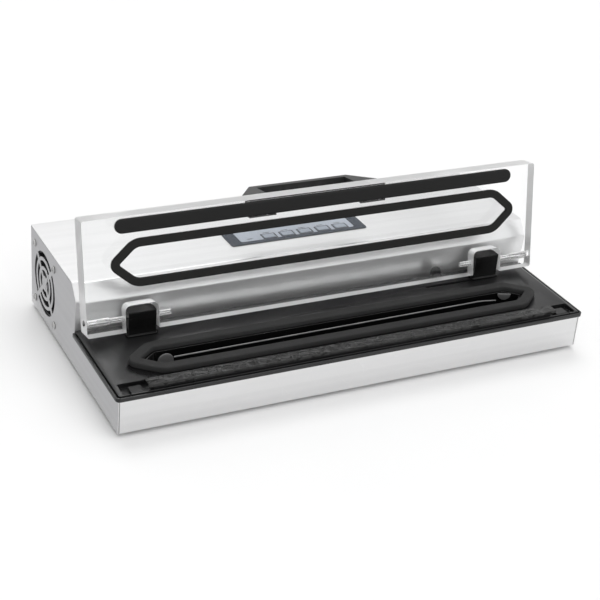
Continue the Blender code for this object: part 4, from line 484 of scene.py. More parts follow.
@dataclass(frozen=True)
class BrushedSteel(Finish):
    """Stainless sheet, brushed one way."""

    rough: float = 0.30
    grain: Axis = Axis.X
    scale_along: float = 3.0
    scale_across: float = 1100.0
    line_depth: float = 0.000004

    def wire(self, coat: Coat) -> Socket:
        """Wire fine brush lines, slow clouding, a little handling wear and painted shade in seams and inner
        corners.
        """
        tree = coat.tree
        scales = {}
        for axis in Axis:
            scales["Scale " + axis.value] = self.scale_along if axis is self.grain else self.scale_across
        brushed = coat.effect(Effect.BRUSHING, **scales)
        clouded = coat.mask(Effect.CLOUDING, Scale=9.0)
        scratched = coat.mask(Effect.SCRATCHES, Scale=18.0, Amount=0.35)
        grime = coat.mask(Effect.CREVICE_SHADE, Reach=0.0016)
        edge = coat.effect(Effect.EDGE_WEAR, Radius=0.0004)
        tone = tree.blended(brushed["Mask"], self.darker(0.955), self.tone)
        tone = tree.blended(scratched, tone, self.darker(1.06))
        # painted shade: the steel is darkened towards a sixth of its tone in seams and inner corners that
        # the occlusion mask finds
        tone = tree.blended(grime, tone, self.darker(0.16))
        coat.settle("Metallic", 1.0)
        rough = tree.between(clouded, self.rough - 0.03, self.rough + 0.05)
        return coat.finished(tone, rough, tree.bumped(brushed["Height"], self.line_depth, edge["Normal"]))


@dataclass(frozen=True)
class MouldedPlastic(Finish):
    """Moulded plastic or hard rubber, with a tool texture and rubbed edges."""

    rough: float = 0.42
    stipple: float = 1500.0
    depth: float = 0.000015
    worn: float = 1.6
    dusty: float = 0.25
    gloss: float = 0.5

    def wire(self, coat: Coat) -> Socket:
        """Wire the stipple, edge wear, uneven tone and dust."""
        tree = coat.tree
        edge = coat.effect(Effect.EDGE_WEAR, Radius=0.0005)
        texture = coat.effect(Effect.STIPPLE, Scale=self.stipple)
        clouded = coat.mask(Effect.CLOUDING, Scale=16.0)
        dust = coat.mask(Effect.DUST, Scale=380.0, Amount=self.dusty)
        tone = tree.blended(clouded, self.darker(0.9), self.darker(1.1))
        tone = tree.blended(edge["Mask"], tone, self.darker(self.worn))
        tone = tree.blended(dust, tone, PALE_DUST)
        coat.settle("Specular IOR Level", self.gloss)
        rough = tree.between(clouded, self.rough - 0.04, self.rough + 0.06)
        return coat.finished(tone, rough, tree.bumped(texture["Height"], self.depth, edge["Normal"]))


@dataclass(frozen=True)
class SpongeRubber(Finish):
    """Closed-cell sponge rubber, matt and finely pitted."""

    rough: float = 0.88
    cell_depth: float = 0.00005

    def wire(self, coat: Coat) -> Socket:
        """Wire the cells, their dark pits and dust."""
        tree = coat.tree
        pores = coat.effect(Effect.PORES, Scale=1300.0)
        clouded = coat.mask(Effect.CLOUDING, Scale=30.0)
        dust = coat.mask(Effect.DUST, Scale=520.0, Amount=0.3)
        edge = coat.effect(Effect.EDGE_WEAR, Radius=0.0008)
        tone = tree.blended(clouded, self.darker(0.88), self.darker(1.12))
        tone = tree.blended(pores["Mask"], tone, self.darker(0.45))
        tone = tree.blended(dust, tone, GREY_DUST)
        coat.settle("Specular IOR Level", 0.25)
        rough = tree.between(clouded, self.rough - 0.05, self.rough + 0.05)
        return coat.finished(tone, rough, tree.bumped(pores["Height"], self.cell_depth, edge["Normal"]))


@dataclass(frozen=True)
class ClearAcrylic(Finish):
    """Thick clear sheet with polished faces."""

    rough: float = 0.02
    shade: float = 0.10
    clear: float = 1.0
    index: float = 1.49

    def wire(self, coat: Coat) -> Socket:
        """Wire the glass, with faint smears, and let most light through to what it shades."""
        tree = coat.tree
        clouded = coat.mask(Effect.CLOUDING, Scale=22.0)
        scratched = coat.mask(Effect.SCRATCHES, Scale=30.0, Amount=0.12)
        coat.settle("Base Color", (*self.tone, 1.0))
        coat.settle("Transmission Weight", self.clear)
        coat.settle("IOR", self.index)
        smear = tree.maths("ADD", tree.scaled(clouded, 0.3, 1.0, 0.0, 0.025), scratched)
        tree.fill(coat.shader.inputs["Roughness"], tree.between(smear, self.rough, self.rough + 0.3))
        through = 1.0 - self.shade
        clear = tree.add("ShaderNodeBsdfTransparent", {0: (through, through, through)})
        shadow = tree.add("ShaderNodeLightPath").outputs["Is Shadow Ray"]
        inputs = {0: shadow, 1: coat.shader.outputs[0], 2: clear.outputs[0]}
        return tree.add("ShaderNodeMixShader", inputs).outputs[0]


@dataclass(frozen=True)
class PolishedMetal(Finish):
    """Turned, drawn or plated metal with a light tarnish."""

    rough: float = 0.18
    tarnish: float = 0.7
    scratch_depth: float = 0.000006

    def wire(self, coat: Coat) -> Socket:
        """Wire the tarnish, fine scratches and soft edges."""
        tree = coat.tree
        clouded = coat.mask(Effect.CLOUDING, Scale=70.0)
        scratched = coat.mask(Effect.SCRATCHES, Scale=45.0, Amount=0.6)
        edge = coat.effect(Effect.EDGE_WEAR, Radius=0.0003)
        tone = tree.blended(clouded, self.tone, self.darker(self.tarnish))
        tone = tree.blended(edge["Mask"], tone, self.darker(1.15))
        coat.settle("Metallic", 1.0)
        worn = tree.maths("MAXIMUM", clouded, scratched)
        rough = tree.between(worn, self.rough, self.rough + 0.14)
        return coat.finished(tone, rough, tree.bumped(scratched, self.scratch_depth, edge["Normal"]))


@dataclass(frozen=True)
class CoatedCloth(Finish):
    """Glass cloth coated with a slippery film."""

    rough: float = 0.22
    thread_depth: float = 0.00002
    crease_depth: float = 0.0010

    def wire(self, coat: Coat) -> Socket:
        """Wire the threads under the coat and the darker places where heat has reached."""
        tree = coat.tree
        weave = coat.effect(Effect.WEAVE, Scale=260.0)
        clouded = coat.mask(Effect.CLOUDING, Scale=18.0)
        crinkle = coat.effect(Effect.CRINKLE, Scale=95.0)
        tone = tree.blended(clouded, self.darker(0.75), self.darker(1.2))
        tone = tree.blended(weave["Mask"], tone, self.darker(1.5))
        rough = tree.between(clouded, self.rough, self.rough + 0.15)
        woven = tree.bumped(weave["Height"], self.thread_depth)
        return coat.finished(tone, rough, tree.bumped(crinkle["Height"], self.crease_depth, woven))


@dataclass(frozen=True)
class BoardLaminate(Finish):
    """A printed circuit board's coating with copper lines under it."""

    line: Colour = (0.05, 0.26, 0.11)
    line_depth: float = 0.00003

    def wire(self, coat: Coat) -> Socket:
        """Wire the lines, pads and coating."""
        tree = coat.tree
        inputs = {"Vector": tree.place(), "Scale": 90.0, "Mortar Size": 0.03}
        inputs.update({"Color1": self.tone, "Color2": self.darker(0.8), "Mortar": self.line})
        bricks = tree.add("ShaderNodeTexBrick", inputs)
        dust = coat.mask(Effect.DUST, Scale=400.0, Amount=0.4)
        tone = tree.blended(dust, bricks.outputs[0], GREY_DUST)
        rough = tree.between(bricks.outputs["Fac"], 0.42, 0.28)
        return coat.finished(tone, rough, tree.bumped(bricks.outputs["Fac"], self.line_depth))


@dataclass(frozen=True)
class Lacquered(Finish):
    """Enamelled wire or stacked steel sheets, ribbed along one axis."""

    metal: float = 1.0
    ribs: float = 420.0
    along: Axis = Axis.Z
    rough: float = 0.35
    rib_depth: float = 0.00012

    def wire(self, coat: Coat) -> Socket:
        """Wire the ribs and an uneven coat."""
        tree = coat.tree
        inputs = {"Vector": tree.place(), "Scale": self.ribs, "Distortion": 0.4}
        wave = tree.add("ShaderNodeTexWave", inputs, wave_type="BANDS", bands_direction=self.along.value)
        ribs = wave.outputs["Fac"]
        clouded = coat.mask(Effect.CLOUDING, Scale=60.0)
        tone = tree.blended(clouded, self.darker(0.8), self.tone)
        tone = tree.blended(ribs, self.darker(0.5), tone)
        coat.settle("Metallic", self.metal)
        rough = tree.between(clouded, self.rough, self.rough + 0.12)
        return coat.finished(tone, rough, tree.bumped(ribs, self.rib_depth))


FRONT_STEEL = BrushedSteel("steel_brushed_along", (0.77, 0.77, 0.773), rough=0.40)
# the side sheets are the same steel as the rest; this copy's lower tone is painted shade for the sides
SHADED_SIDE_STEEL = BrushedSteel("steel_brushed_side_shaded", (0.66, 0.66, 0.662), rough=0.34, grain=Axis.Y)
DECK_BLACK = MouldedPlastic("deck_black", (0.008, 0.008, 0.0085), rough=0.30, depth=0.000006)
SPONGE = SpongeRubber("sponge_grey", (0.036, 0.036, 0.036))
LID_SPONGE = SpongeRubber("sponge_black", (0.016, 0.016, 0.0155))
PAD_RUBBER = MouldedPlastic(
    "pad_silicone", (0.012, 0.012, 0.012), rough=0.75, stipple=900.0, worn=1.3, gloss=0.25
)
ACRYLIC = ClearAcrylic("clear_acrylic", (0.985, 0.99, 0.99))
ACRYLIC_EDGE = ClearAcrylic("satin_acrylic", (0.98, 0.98, 0.98), rough=0.30, clear=0.5)
HANDLE_BLACK = MouldedPlastic("handle_black", (0.020, 0.020, 0.0195), rough=0.45, stipple=1100.0)
HINGE_BLACK = MouldedPlastic("hinge_black", (0.004, 0.004, 0.004), rough=0.22, depth=0.000004, gloss=0.4)
TRAY_BLACK = MouldedPlastic("tray_black", (0.004, 0.004, 0.004), rough=0.18, depth=0.000003)
TAB_GREY = MouldedPlastic("tab_grey", (0.13, 0.13, 0.13), rough=0.5)
BRIGHT = PolishedMetal("bright_steel", (0.80, 0.80, 0.80))
SCREW_STEEL = PolishedMetal("screw_steel", (0.70, 0.70, 0.69), rough=0.22)
WIRE_STEEL = PolishedMetal("wire_steel", (0.30, 0.30, 0.30), rough=0.3)
BAND_ALLOY = PolishedMetal("band_alloy", (0.58, 0.55, 0.50), rough=0.3)
TAPE_BLACK = CoatedCloth("tape_black", (0.006, 0.006, 0.0057), rough=0.27)
SLATE = MouldedPlastic("panel_slate", (0.009, 0.021, 0.042), rough=0.55, dusty=0.05, gloss=0.1)
OVERLAY = MouldedPlastic(
    "overlay_pale", (0.42, 0.47, 0.55), rough=0.36, stipple=2400.0, depth=0.000006, worn=1.1, dusty=0.1
)
PRINT = MouldedPlastic("print_slate", (0.012, 0.020, 0.034), rough=0.5, dusty=0.1, gloss=0.2)
KEY_SLATE = MouldedPlastic("key_slate", (0.33, 0.38, 0.46), rough=0.42, dusty=0.1)
FAN_BLACK = MouldedPlastic("fan_black", (0.020, 0.020, 0.022), rough=0.4)
FOOT_BLACK = MouldedPlastic("foot_black", (0.020, 0.020, 0.020), rough=0.75, stipple=800.0)
BOARD_GREEN = BoardLaminate("board_green", (0.018, 0.13, 0.055))
COPPER = Lacquered("coil_copper", (0.55, 0.22, 0.09), ribs=300.0)
IRON = Lacquered("core_sheets", (0.16, 0.16, 0.17), ribs=260.0, along=Axis.Y, rough=0.5)
MOTOR_CAN = PolishedMetal("motor_can", (0.52, 0.52, 0.53), rough=0.35)
VALVE_BRASS = PolishedMetal("valve_metal", (0.60, 0.56, 0.46), rough=0.3)
HOSE = MouldedPlastic("hose_rubber", (0.10, 0.10, 0.10), rough=0.55, stipple=700.0)
INLET_BLACK = MouldedPlastic("inlet_black", (0.016, 0.016, 0.016), rough=0.45)
ROCKER_BLACK = MouldedPlastic("rocker_black", (0.022, 0.022, 0.022), rough=0.28)


# ------------------------------------------------------------------ shapes
class Shape:
    """A mesh being built from prisms and lofts."""

    def __init__(self) -> None:
        """Start with an empty mesh."""
        self.mesh = bmesh.new()

    def loft(self, rings: list[list[Vector]], capped: bool = True) -> None:
        """Join rings of points, in order, and close both ends.

        Args:
            rings: rings with the same number of points.
            capped: whether the first and last rings are filled; otherwise they are joined.
        """
        levels = [[self.mesh.verts.new(point) for point in ring] for ring in rings]
        pairs = list(zip(levels, levels[1:]))
        if not capped:
            pairs.append((levels[-1], levels[0]))
        count = len(levels[0])
        for near, far in pairs:
            for index in range(count):
                after = (index + 1) % count
                self.mesh.faces.new((near[index], near[after], far[after], far[index]))
        if capped:
            self.mesh.faces.new(levels[0])
            self.mesh.faces.new(levels[-1])

    def prism(self, outline: Outline, low: float, high: float, axis: Axis = Axis.Z) -> None:
        """Add a prism along an axis; its outline lies in YZ for X, XZ for Y and XY for Z."""
        self.loft([[lifted(point, height, axis) for point in outline] for height in (low, high)])

    def piece(self, name: str) -> Piece:
        """Return the mesh as a linked object with its faces turned out.

        Args:
            name: the object's name.

        Returns:
            The object.
        """
        bmesh.ops.recalc_face_normals(self.mesh, faces=self.mesh.faces)
        data = bpy.data.meshes.new(name)
        self.mesh.to_mesh(data)
        self.mesh.free()
        made = bpy.data.objects.new(name, data)
        bpy.context.scene.collection.objects.link(made)
        return made


def lifted(point: Point, height: float, axis: Axis) -> Vector:
    """Return a flat point at a height along an axis."""
    if axis is Axis.X:
        return Vector((height, point[0], point[1]))
    if axis is Axis.Y:
        return Vector((point[0], height, point[1]))
    return Vector((point[0], point[1], height))


def rounded_box(centre: Point, size: Point, radius: float, steps: int = 5) -> Outline:
    """Return a rectangle with round corners.

    Args:
        centre: its middle.
        size: its width and height.
        radius: the corners' radius.
        steps: the sides of each corner.

    Returns:
        The outline, turning left.
    """
    points = []
    for quarter, (side_x, side_y) in enumerate(((1, 1), (-1, 1), (-1, -1), (1, -1))):
        middle_x = centre[0] + side_x * (size[0] / 2 - radius)
        middle_y = centre[1] + side_y * (size[1] / 2 - radius)
        for step in range(steps + 1):
            turn = math.pi / 2 * (quarter + step / steps)
            points.append((middle_x + radius * math.cos(turn), middle_y + radius * math.sin(turn)))
    return points


def baked(piece: Piece) -> None:
    """Put a piece's modifiers into its mesh.

    Args:
        piece: the object, which ends with no modifiers.
    """
    graph = bpy.context.evaluated_depsgraph_get()
    data = bpy.data.meshes.new_from_object(piece.evaluated_get(graph))
    piece.modifiers.clear()
    piece.data = data


def softened(piece: Piece, radius: float, segments: int = 2, angle: float = 34.0) -> None:
    """Round a piece's sharp edges and shade it smooth.

    Args:
        piece: the object.
        radius: the width of the rounding.
        segments: the sides of the rounding.
        angle: the least angle between faces that counts as an edge, in degrees.
    """
    piece.data.polygons.foreach_set("use_smooth", [True] * len(piece.data.polygons))
    if radius > 0.0:
        edges = piece.modifiers.new("edges", "BEVEL")
        edges.width = radius
        edges.segments = segments
        edges.limit_method = "ANGLE"
        edges.angle_limit = math.radians(angle)
        edges.use_clamp_overlap = True
        baked(piece)
    piece.data.set_sharp_from_angle(angle=math.radians(angle))
    flattened(piece)


def flattened(piece: Piece, broad: float = 0.004, slight: float = 0.5, bend: float = 20.0) -> None:
    """Shade a piece's broad flat faces flat, so that their light doesn't run into the edges.

    Args:
        piece: the object.
        broad: the least width of a flat face.
        slight: the angle below which two faces are one flat face, in degrees.
        bend: the least angle to another broad face, in degrees; a smaller one is part of a round.
    """
    shape = bmesh.new()
    shape.from_mesh(piece.data)
    wide = {face.index for face in shape.faces if 2 * face.calc_area() > broad * face.calc_perimeter()}
    shape.faces.ensure_lookup_table()
    for index in wide:
        face = shape.faces[index]
        near = [edge for edge in face.edges if all(other.index in wide for other in edge.link_faces)]
        angles = [math.degrees(abs(edge.calc_face_angle(0.0))) for edge in near]
        face.smooth = any(slight < angle < bend for angle in angles)
    shape.to_mesh(piece.data)
    shape.free()


def carved(piece: Piece, cutter: Piece) -> None:
    """Cut a shape out of a piece and throw the cutter away.

    Args:
        piece: the object to cut.
        cutter: the closed shape to take away.
    """
    change = piece.modifiers.new("carve", "BOOLEAN")
    change.operation = "DIFFERENCE"
    change.solver = "EXACT"
    change.object = cutter
    baked(piece)
    bpy.data.objects.remove(cutter)


# ------------------------------------------------------------------ workshop
@dataclass
class Workshop:
    """Holds the effects and finishes, and the pieces made so far."""

    effects: Effects = field(default_factory=Effects)
    materials: dict[Finish, bpy.types.Material] = field(default_factory=dict)
    made: list[str] = field(default_factory=list)

    def material(self, finish: Finish) -> bpy.types.Material:
        """Return a finish's material, built on first use.

        Args:
            finish: the finish.

        Returns:
            Its material.
        """
        if finish not in self.materials:
            self.materials[finish] = finish.build(self.effects)
        return self.materials[finish]


@dataclass
class Assembly:
    """A group of pieces that is built and dressed together."""

    shop: Workshop
    edge: float = 0.0004

    def place(self, piece: Piece, slot: Slot, finish: Finish, body: str, *nodes: str) -> Piece:
        """Dress a piece and let it ride its body in place of its nodes.

        Args:
            piece: the object.
            slot: the record's material slot; not used.
            finish: what it is made of.
            body: the body that carries it.
            nodes: the CAD nodes that it stands for.

        Returns:
            The piece.
        """
        piece.data.materials.clear()
        piece.data.materials.append(self.shop.material(finish))
        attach(piece, body)
        if nodes:
            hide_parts(*nodes)
        self.shop.made.append(piece.name)
        LOG.info("%s: %s faces in %s, on %s", piece.name, len(piece.data.polygons), finish.name, body)
        return piece

    def copied(self, node: str, fold: float = 0.0) -> Piece:
        """Return a new object with a node's shape, its flat faces whole again.

        Args:
            node: the CAD node.
            fold: the radius for shallow folds, or 0 where there are none.

        Returns:
            The object, not yet dressed.
        """
        shape = Shape()
        mesh = shape.mesh
        mesh.from_mesh(frame["nodes"][node].data)
        bmesh.ops.remove_doubles(mesh, verts=mesh.verts, dist=WELD)
        bmesh.ops.dissolve_limit(mesh, angle_limit=FLAT_ANGLE, verts=mesh.verts, edges=mesh.edges)
        if fold > 0.0:
            low, high = FOLD_ANGLES
            bent = [edge for edge in mesh.edges if low < abs(edge.calc_face_angle(0.0)) < high]
            settings = {"offset_type": "OFFSET", "segments": 4, "profile": 0.5, "affect": "EDGES"}
            bmesh.ops.bevel(mesh, geom=bent, offset=fold, **settings)
        return shape.piece(node + ".made")

    def body_of(self, node: str) -> str:
        """Return the name of the body that carries a node."""
        return frame["nodes"][node]["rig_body"]

    def refined(
        self, node: str, slot: Slot, finish: Finish, radius: float | None = None, fold: float = 0.0
    ) -> Piece:
        """Make a piece from a node's shape with its edges rounded.

        Args:
            node: the CAD node that it stands for.
            slot: the record's material slot.
            finish: what it is made of.
            radius: the edges' radius; the assembly's own where it isn't given.
            fold: the radius for shallow folds.

        Returns:
            The piece.
        """
        piece = self.copied(node, fold)
        softened(piece, self.edge if radius is None else radius)
        return self.place(piece, slot, finish, self.body_of(node), node)


@dataclass
class SteelCase(Assembly):
    """The folded stainless case, its floor and its feet."""

    fold: float = 0.0009
    sheet_edge: float = 0.00025

    def build(self) -> None:
        """Make every sheet and foot."""
        self.refined("top_cover", Slot.CASE_STEEL, FRONT_STEEL, self.sheet_edge, self.fold)
        for sheet in ("front_panel", "rear_panel", "base_plate"):
            self.refined(sheet, Slot.CASE_STEEL, FRONT_STEEL, self.sheet_edge)
        for side in ("left", "right"):
            # the side sheets take the darker copy of the steel, as painted shade
            self.refined("side_panel_" + side, Slot.CASE_STEEL, SHADED_SIDE_STEEL, self.sheet_edge)
            for end in ("front", "back"):
                self.refined(f"foot_{end}_{side}", Slot.FOOT, FOOT_BLACK, radius=0.0005)


@dataclass
class Deck(Assembly):
    """The moulded deck and the parts let into it."""

    edge: float = 0.0004
    gasket_round: float = 0.0016

    def build(self) -> None:
        """Make the deck, its gasket and the trough's parts."""
        self.refined("deck", Slot.DECK, DECK_BLACK)
        self.refined("lower_gasket", Slot.GASKET, SPONGE, self.gasket_round)
        for part in ("wall", "floor"):
            self.refined("chamber_" + part, Slot.TRAY, TRAY_BLACK)
        self.refined("drip_tray", Slot.TRAY, TRAY_BLACK, radius=0.00035)
        for side in ("left", "right"):
            self.refined("tray_tab_" + side, Slot.TAB, TAB_GREY, radius=0.0004)
        self.refined("bag_stop_wire", Slot.WIRE, WIRE_STEEL, radius=0.0)


@dataclass
class SealBar(Assembly):
    """The heated bar with its band, its tape and the clamps that hold them."""

    thickness: float = 0.0003
    ripple: float = 0.0001
    flap_length: float = 0.004
    flap_rise: float = 0.0012
    shoulder: float = 0.0004
    corner: float = 0.0003
    creases: tuple[float, ...] = (0.2, 0.35, 0.5, 0.65, 0.8)
    steps: int = 210

    def build(self) -> None:
        """Make the bar, band, clamps and tape."""
        self.refined("seal_bar", Slot.DECK, DECK_BLACK)
        self.refined("heating_band", Slot.BAND, BAND_ALLOY, radius=0.00005)
        for side in ("left", "right"):
            self.refined("tape_clamp_" + side, Slot.DECK, DECK_BLACK, radius=0.0005)
        self.place(self.tape(), Slot.TAPE, TAPE_BLACK, "base", "seal_tape")

    def tape(self) -> Piece:
        """Lay the tape over the bar, lightly rippled and lifting at its left end.

        Returns:
            The tape, not yet dressed.
        """
        low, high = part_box("seal_tape")
        inner_high = high.z - self.thickness
        outer = [(low.y, low.z), (low.y, high.z - self.shoulder), (low.y + self.corner, high.z)]
        outer += [(low.y + (high.y - low.y) * share, high.z) for share in self.creases]
        outer += [(high.y - self.corner, high.z), (high.y, high.z - self.shoulder), (high.y, low.z)]
        inner = []
        for y, z in reversed(outer):
            inner.append((min(max(y, low.y + self.thickness), high.y - self.thickness), min(z, inner_high)))
        shape = Shape()
        rings = []
        for step in range(self.steps + 1):
            x = low.x + (high.x - low.x) * step / self.steps
            rings.append([self.tape_point((x, y, z)) for y, z in outer + inner])
        shape.loft(rings)
        piece = shape.piece("seal_tape.made")
        softened(piece, 0.0)
        return piece

    def tape_point(self, point: tuple[float, float, float]) -> Vector:
        """Return a tape point after its ripples and its lifted end.

        Args:
            point: its place on the flat tape.

        Returns:
            Its place on the rippled tape.
        """
        low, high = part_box("seal_tape")
        x, y, z = point
        slow = noise.noise(Vector((x * 130.0, y * 260.0, 0.0)))
        fast = noise.noise(Vector((x * 420.0, y * 200.0, 4.0)))
        upper = (z - low.z) / (high.z - low.z)
        lift = max(0.0, 1.0 - (x - low.x) / self.flap_length) ** 2
        across = (high.y - y) / (high.y - low.y)
        wave = slow + 0.5 * fast
        rise = self.ripple * max(0.0, 0.6 + wave) * upper + self.flap_rise * lift * across * upper
        return Vector((x, y, z + rise))


@dataclass
class Hinges(Assembly):
    """The two posts and the pins that carry the lid."""

    edge: float = 0.0006

    def build(self) -> None:
        """Make both posts and both pins."""
        for side in ("left", "right"):
            self.refined("hinge_post_" + side, Slot.HINGE, HINGE_BLACK)
            self.refined("hinge_pin_" + side, Slot.PIN, BRIGHT, radius=0.0003)


@dataclass
class Lid(Assembly):
    """The clear lid with its seals, its handle and its striker."""

    edge: float = 0.0007
    face_share: float = 0.5

    def build(self) -> None:
        """Make the sheet and what is fixed to it."""
        self.sheet()
        self.refined("lid_gasket", Slot.GASKET, LID_SPONGE, radius=0.0014)
        self.refined("pressing_pad", Slot.PAD, PAD_RUBBER, radius=0.0012)
        self.refined("lid_handle", Slot.HANDLE, HANDLE_BLACK, radius=0.0008)
        for side in ("left", "right"):
            self.refined("handle_screw_" + side, Slot.SCREW, SCREW_STEEL, radius=0.0003)
        self.refined("lid_striker", Slot.HINGE, HINGE_BLACK, radius=0.0004)

    def sheet(self) -> None:
        """Make the clear sheet, with satin edges round its polished faces."""
        piece = self.copied("lid")
        softened(piece, self.edge, segments=3)
        piece.data.shade_flat()
        self.place(piece, Slot.ACRYLIC, ACRYLIC, self.body_of("lid"), "lid")
        piece.data.materials.append(self.shop.material(ACRYLIC_EDGE))
        widest = max(piece.data.polygons, key=lambda face: face.area)
        for face in piece.data.polygons:
            if abs(face.normal.dot(widest.normal)) < self.face_share:
                face.material_index = 1


@dataclass
class ControlPanel(Assembly):
    """The slate frame, pale overlay, five keys and the printing round them."""

    keys: tuple[str, ...] = ("seal", "vacuum_seal", "pulse", "seal_time", "cancel")
    ink: float = 0.00008
    key_rim: float = 0.0012
    key_gap: float = 0.0009
    key_corner: float = 0.0012
    mark_size: Point = (0.0070, 0.0007)
    mark_corner: float = 0.0003
    line_width: float = 0.0005
    line_corner: float = 0.0002
    line_step: float = 0.0016
    line_left: float = 0.021

    def build(self) -> None:
        """Make the frame, overlay, keys, board and print."""
        self.refined("control_panel_frame", Slot.SLATE, SLATE, radius=0.0003)
        self.refined("panel_overlay", Slot.OVERLAY, OVERLAY, radius=0.00012)
        for key in self.keys:
            self.refined("button_" + key, Slot.BUTTON, KEY_SLATE, radius=0.0003)
        self.refined("button_board", Slot.BOARD, BOARD_GREEN, radius=0.0002)
        self.place(self.print_marks(), Slot.SLATE, PRINT, "base")

    def key_centre(self, key: str) -> Point:
        """Return the middle of a key, seen from above."""
        low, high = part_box("button_" + key)
        return ((low.x + high.x) / 2, (low.y + high.y) / 2)

    def print_marks(self) -> Piece:
        """Draw the printed rims round the keys and the plain lines beside them.

        Returns:
            The print, not yet dressed.
        """
        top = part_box("panel_overlay")[1].z
        low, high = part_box("button_" + self.keys[0])
        size = (high.x - low.x, high.y - low.y)
        inner, outer = self.key_gap, self.key_rim * 2 + self.key_gap
        shape = Shape()
        for key in self.keys:
            x, y = self.key_centre(key)
            rings = []
            for grow, height in ((inner, 0.0), (inner, self.ink), (outer, self.ink), (outer, 0.0)):
                outline = rounded_box((x, y), (size[0] + grow, size[1] + grow), self.key_corner)
                rings.append([Vector((across, along, top + height)) for across, along in outline])
            shape.loft(rings, capped=False)
            shape.prism(rounded_box((x, y + size[1]), self.mark_size, self.mark_corner), top, top + self.ink)
        first_x, first_y = self.key_centre(self.keys[0])
        for share in (1.0, 0.55):
            place = (first_x - self.line_left, first_y - size[1] * 0.3 + self.line_step * share)
            line = rounded_box(place, (self.mark_size[0] * share, self.line_width), self.line_corner)
            shape.prism(line, top, top + self.ink)
        piece = shape.piece("panel_print")
        softened(piece, 0.0)
        return piece


@dataclass
class CoolingFan(Assembly):
    """The fan behind the grille and the four screws that hold it."""

    recess_depth: float = 0.0010
    recess_arm: float = 0.0020
    recess_width: float = 0.0007
    recess_corner: float = 0.00021
    overcut: float = 0.001
    screw_edge: float = 0.00025

    def build(self) -> None:
        """Make the fan's frame, its rotor and the cross-head screws."""
        self.refined("fan_frame", Slot.FAN, FAN_BLACK, radius=0.0004)
        self.refined("fan_rotor", Slot.FAN, FAN_BLACK, radius=0.0002)
        for number in range(1, 5):
            node = f"fan_screw_{number}"
            piece = self.copied(node)
            low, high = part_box(node)
            middle = ((low.y + high.y) / 2, (low.z + high.z) / 2)
            for across, tall in ((self.recess_arm, self.recess_width), (self.recess_width, self.recess_arm)):
                cross = Shape()
                outline = rounded_box(middle, (across * 2, tall * 2), self.recess_corner)
                cross.prism(outline, low.x - self.overcut, low.x + self.recess_depth, Axis.X)
                carved(piece, cross.piece("recess"))
            softened(piece, self.screw_edge)
            self.place(piece, Slot.SCREW, SCREW_STEEL, self.body_of(node), node)


@dataclass
class BackFittings(Assembly):
    """The power inlet and the rocker switch on the back panel."""

    def build(self) -> None:
        """Make the inlet, the switch's frame and its rocker."""
        self.refined("power_inlet", Slot.INLET, INLET_BLACK, radius=0.0004)
        self.refined("rocker_frame", Slot.ROCKER, INLET_BLACK, radius=0.0004)
        self.refined("power_rocker", Slot.ROCKER, ROCKER_BLACK, radius=0.0005)


@dataclass
class Workings(Assembly):
    """What the case hides: transformer, board, valve, pump, hose and lid switch."""

    edge: float = 0.0005

    def build(self) -> None:
        """Make every working part."""
        self.refined("transformer_core", Slot.IRON, IRON)
        self.refined("transformer_coil", Slot.COPPER, COPPER, radius=0.001)
        self.refined("circuit_board", Slot.BOARD, BOARD_GREEN, radius=0.0002)
        self.refined("release_valve", Slot.VALVE, VALVE_BRASS)
        self.refined("pump_motor", Slot.MOTOR, MOTOR_CAN)
        self.refined("pump_head", Slot.MOTOR, MOTOR_CAN)
        self.refined("pump_crank", Slot.MOTOR, SCREW_STEEL)
        self.refined("vacuum_hose", Slot.HOSE, HOSE, radius=0.0)
        self.refined("lid_switch", Slot.HINGE, HINGE_BLACK, radius=0.0003)


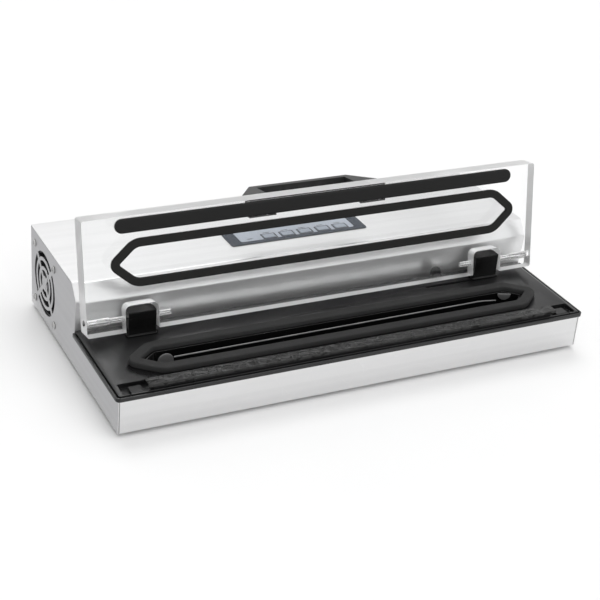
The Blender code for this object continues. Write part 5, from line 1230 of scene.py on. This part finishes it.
@dataclass
class Studio:
    """The floor, the soft light round it and the camera."""

    floor_half: float = 24.0
    floor_depth: float = 0.02
    card_reach: float = 1.2
    card_half: float = 1.0
    card_gap: float = 0.004
    card_heights: Point = (0.0002, 0.0008)
    eye: tuple[float, float, float] = (-0.59582, -1.09124, 0.69513)
    azimuth: float = -28.3836
    pitch: float = 28.1664
    roll: float = 4.9504
    lens: float = 85.6067

    def build(self) -> None:
        """Lay the floor, light the room and stand the camera."""
        self.floor()
        self.grey_card()
        self.surroundings()
        self.lamp("back_softbox", (0.15, 0.75, 1.2), 40.0, 0.85)
        self.lamp("front_softbox", (0.3, -0.9, 1.6), 70.0, 0.62)
        self.camera()

    def floor(self) -> None:
        """Lay a pale matt floor."""
        shape = Shape()
        half = self.floor_half
        corners = [(-half, -half), (half, -half), (half, half), (-half, half)]
        shape.prism(corners, -self.floor_depth, 0.0)
        floor = shape.piece("studio_floor")
        material, tree = new_material("floor_paper")
        tone = tree.blended(tree.noise(tree.place(), 6.0, 3.0), (0.90, 0.90, 0.90), (0.92, 0.92, 0.92))
        inputs = {"Base Color": tone, "Roughness": 0.9, "Specular IOR Level": 0.2}
        tree.show(tree.add("ShaderNodeBsdfPrincipled", inputs).outputs[0])
        floor.data.materials.append(material)

    def grey_card(self) -> None:
        """Lay a grey card on the floor at the left, seen only as a reflection."""
        left = CAD_BOUNDS[0].x
        near, far, half = left - self.card_gap, left - self.card_reach, self.card_half
        shape = Shape()
        shape.prism([(far, -half), (near, -half), (near, half), (far, half)], *self.card_heights)
        card = shape.piece("grey_card")
        material, tree = new_material("card_grey")
        tree.show(tree.add("ShaderNodeEmission", {"Color": (0.62, 0.62, 0.63), "Strength": 1.0}).outputs[0])
        card.data.materials.append(material)
        card.visible_camera = False
        card.visible_diffuse = False
        card.visible_shadow = False
        card.visible_transmission = False

    def surroundings(self) -> None:
        """Light the room evenly, a little dimmer on the left."""
        world = bpy.data.worlds.new("studio")
        world.use_nodes = True
        tree = Tree(world.node_tree)
        way = tree.add("ShaderNodeSeparateXYZ", {0: tree.add("ShaderNodeTexCoord").outputs["Generated"]})
        side = tree.scaled(way.outputs[0], -0.9, -0.1, 0.66, 1.0)
        front = tree.scaled(way.outputs[1], -0.6, 0.5, 0.90, 0.68)
        inputs = {"Color": (1.0, 1.0, 1.0), "Strength": tree.times(side, front)}
        tree.show(tree.add("ShaderNodeBackground", inputs).outputs[0], "ShaderNodeOutputWorld")
        bpy.context.scene.world = world
        bpy.context.scene.view_settings.view_transform = "Standard"

    def lamp(self, name: str, way: tuple[float, float, float], spread: float, strength: float) -> None:
        """Hang a wide, far lamp, so that the whole floor is lit alike.

        Args:
            name: the lamp's name.
            way: the direction it shines from.
            spread: how wide it looks from the floor, in degrees.
            strength: the light that falls on a surface facing it.
        """
        data = bpy.data.lights.new(name, "SUN")
        data.angle = math.radians(spread)
        data.energy = strength
        lamp = bpy.data.objects.new(name, data)
        lamp.rotation_euler = Vector(way).to_track_quat("Z", "Y").to_euler()
        bpy.context.scene.collection.objects.link(lamp)

    def camera(self) -> None:
        """Stand the camera at its place, turned by its azimuth, pitch and roll."""
        turn, rise, tilt = (math.radians(value) for value in (self.azimuth, self.pitch, self.roll))
        back = Vector((math.sin(turn) * math.cos(rise), -math.cos(turn) * math.cos(rise), math.sin(rise)))
        right = (-back).cross(Vector((0.0, 0.0, 1.0))).normalized()
        up = right.cross(-back)
        rolled_right = right * math.cos(tilt) + up * math.sin(tilt)
        rolled_up = up * math.cos(tilt) - right * math.sin(tilt)
        data = bpy.data.cameras.new("camera")
        data.lens = self.lens
        data.sensor_width = 36.0
        data.clip_end = 100.0
        camera = bpy.data.objects.new("camera", data)
        columns = Matrix((rolled_right, rolled_up, back)).transposed().to_4x4()
        camera.matrix_world = Matrix.Translation(self.eye) @ columns
        bpy.context.scene.collection.objects.link(camera)
        bpy.context.scene.camera = camera


def main() -> None:
    """Build every assembly in order."""
    logging.basicConfig(level=logging.INFO, format="%(message)s")
    shop = Workshop()
    for kind in (SteelCase, Deck, SealBar, Hinges, Lid, ControlPanel, CoolingFan, BackFittings, Workings):
        assembly = kind(shop)
        assembly.build()
        LOG.info("%s built", kind.__name__)
    Studio().build()
    LOG.info("%s pieces", len(shop.made))


if __name__ == "__main__":
    main()
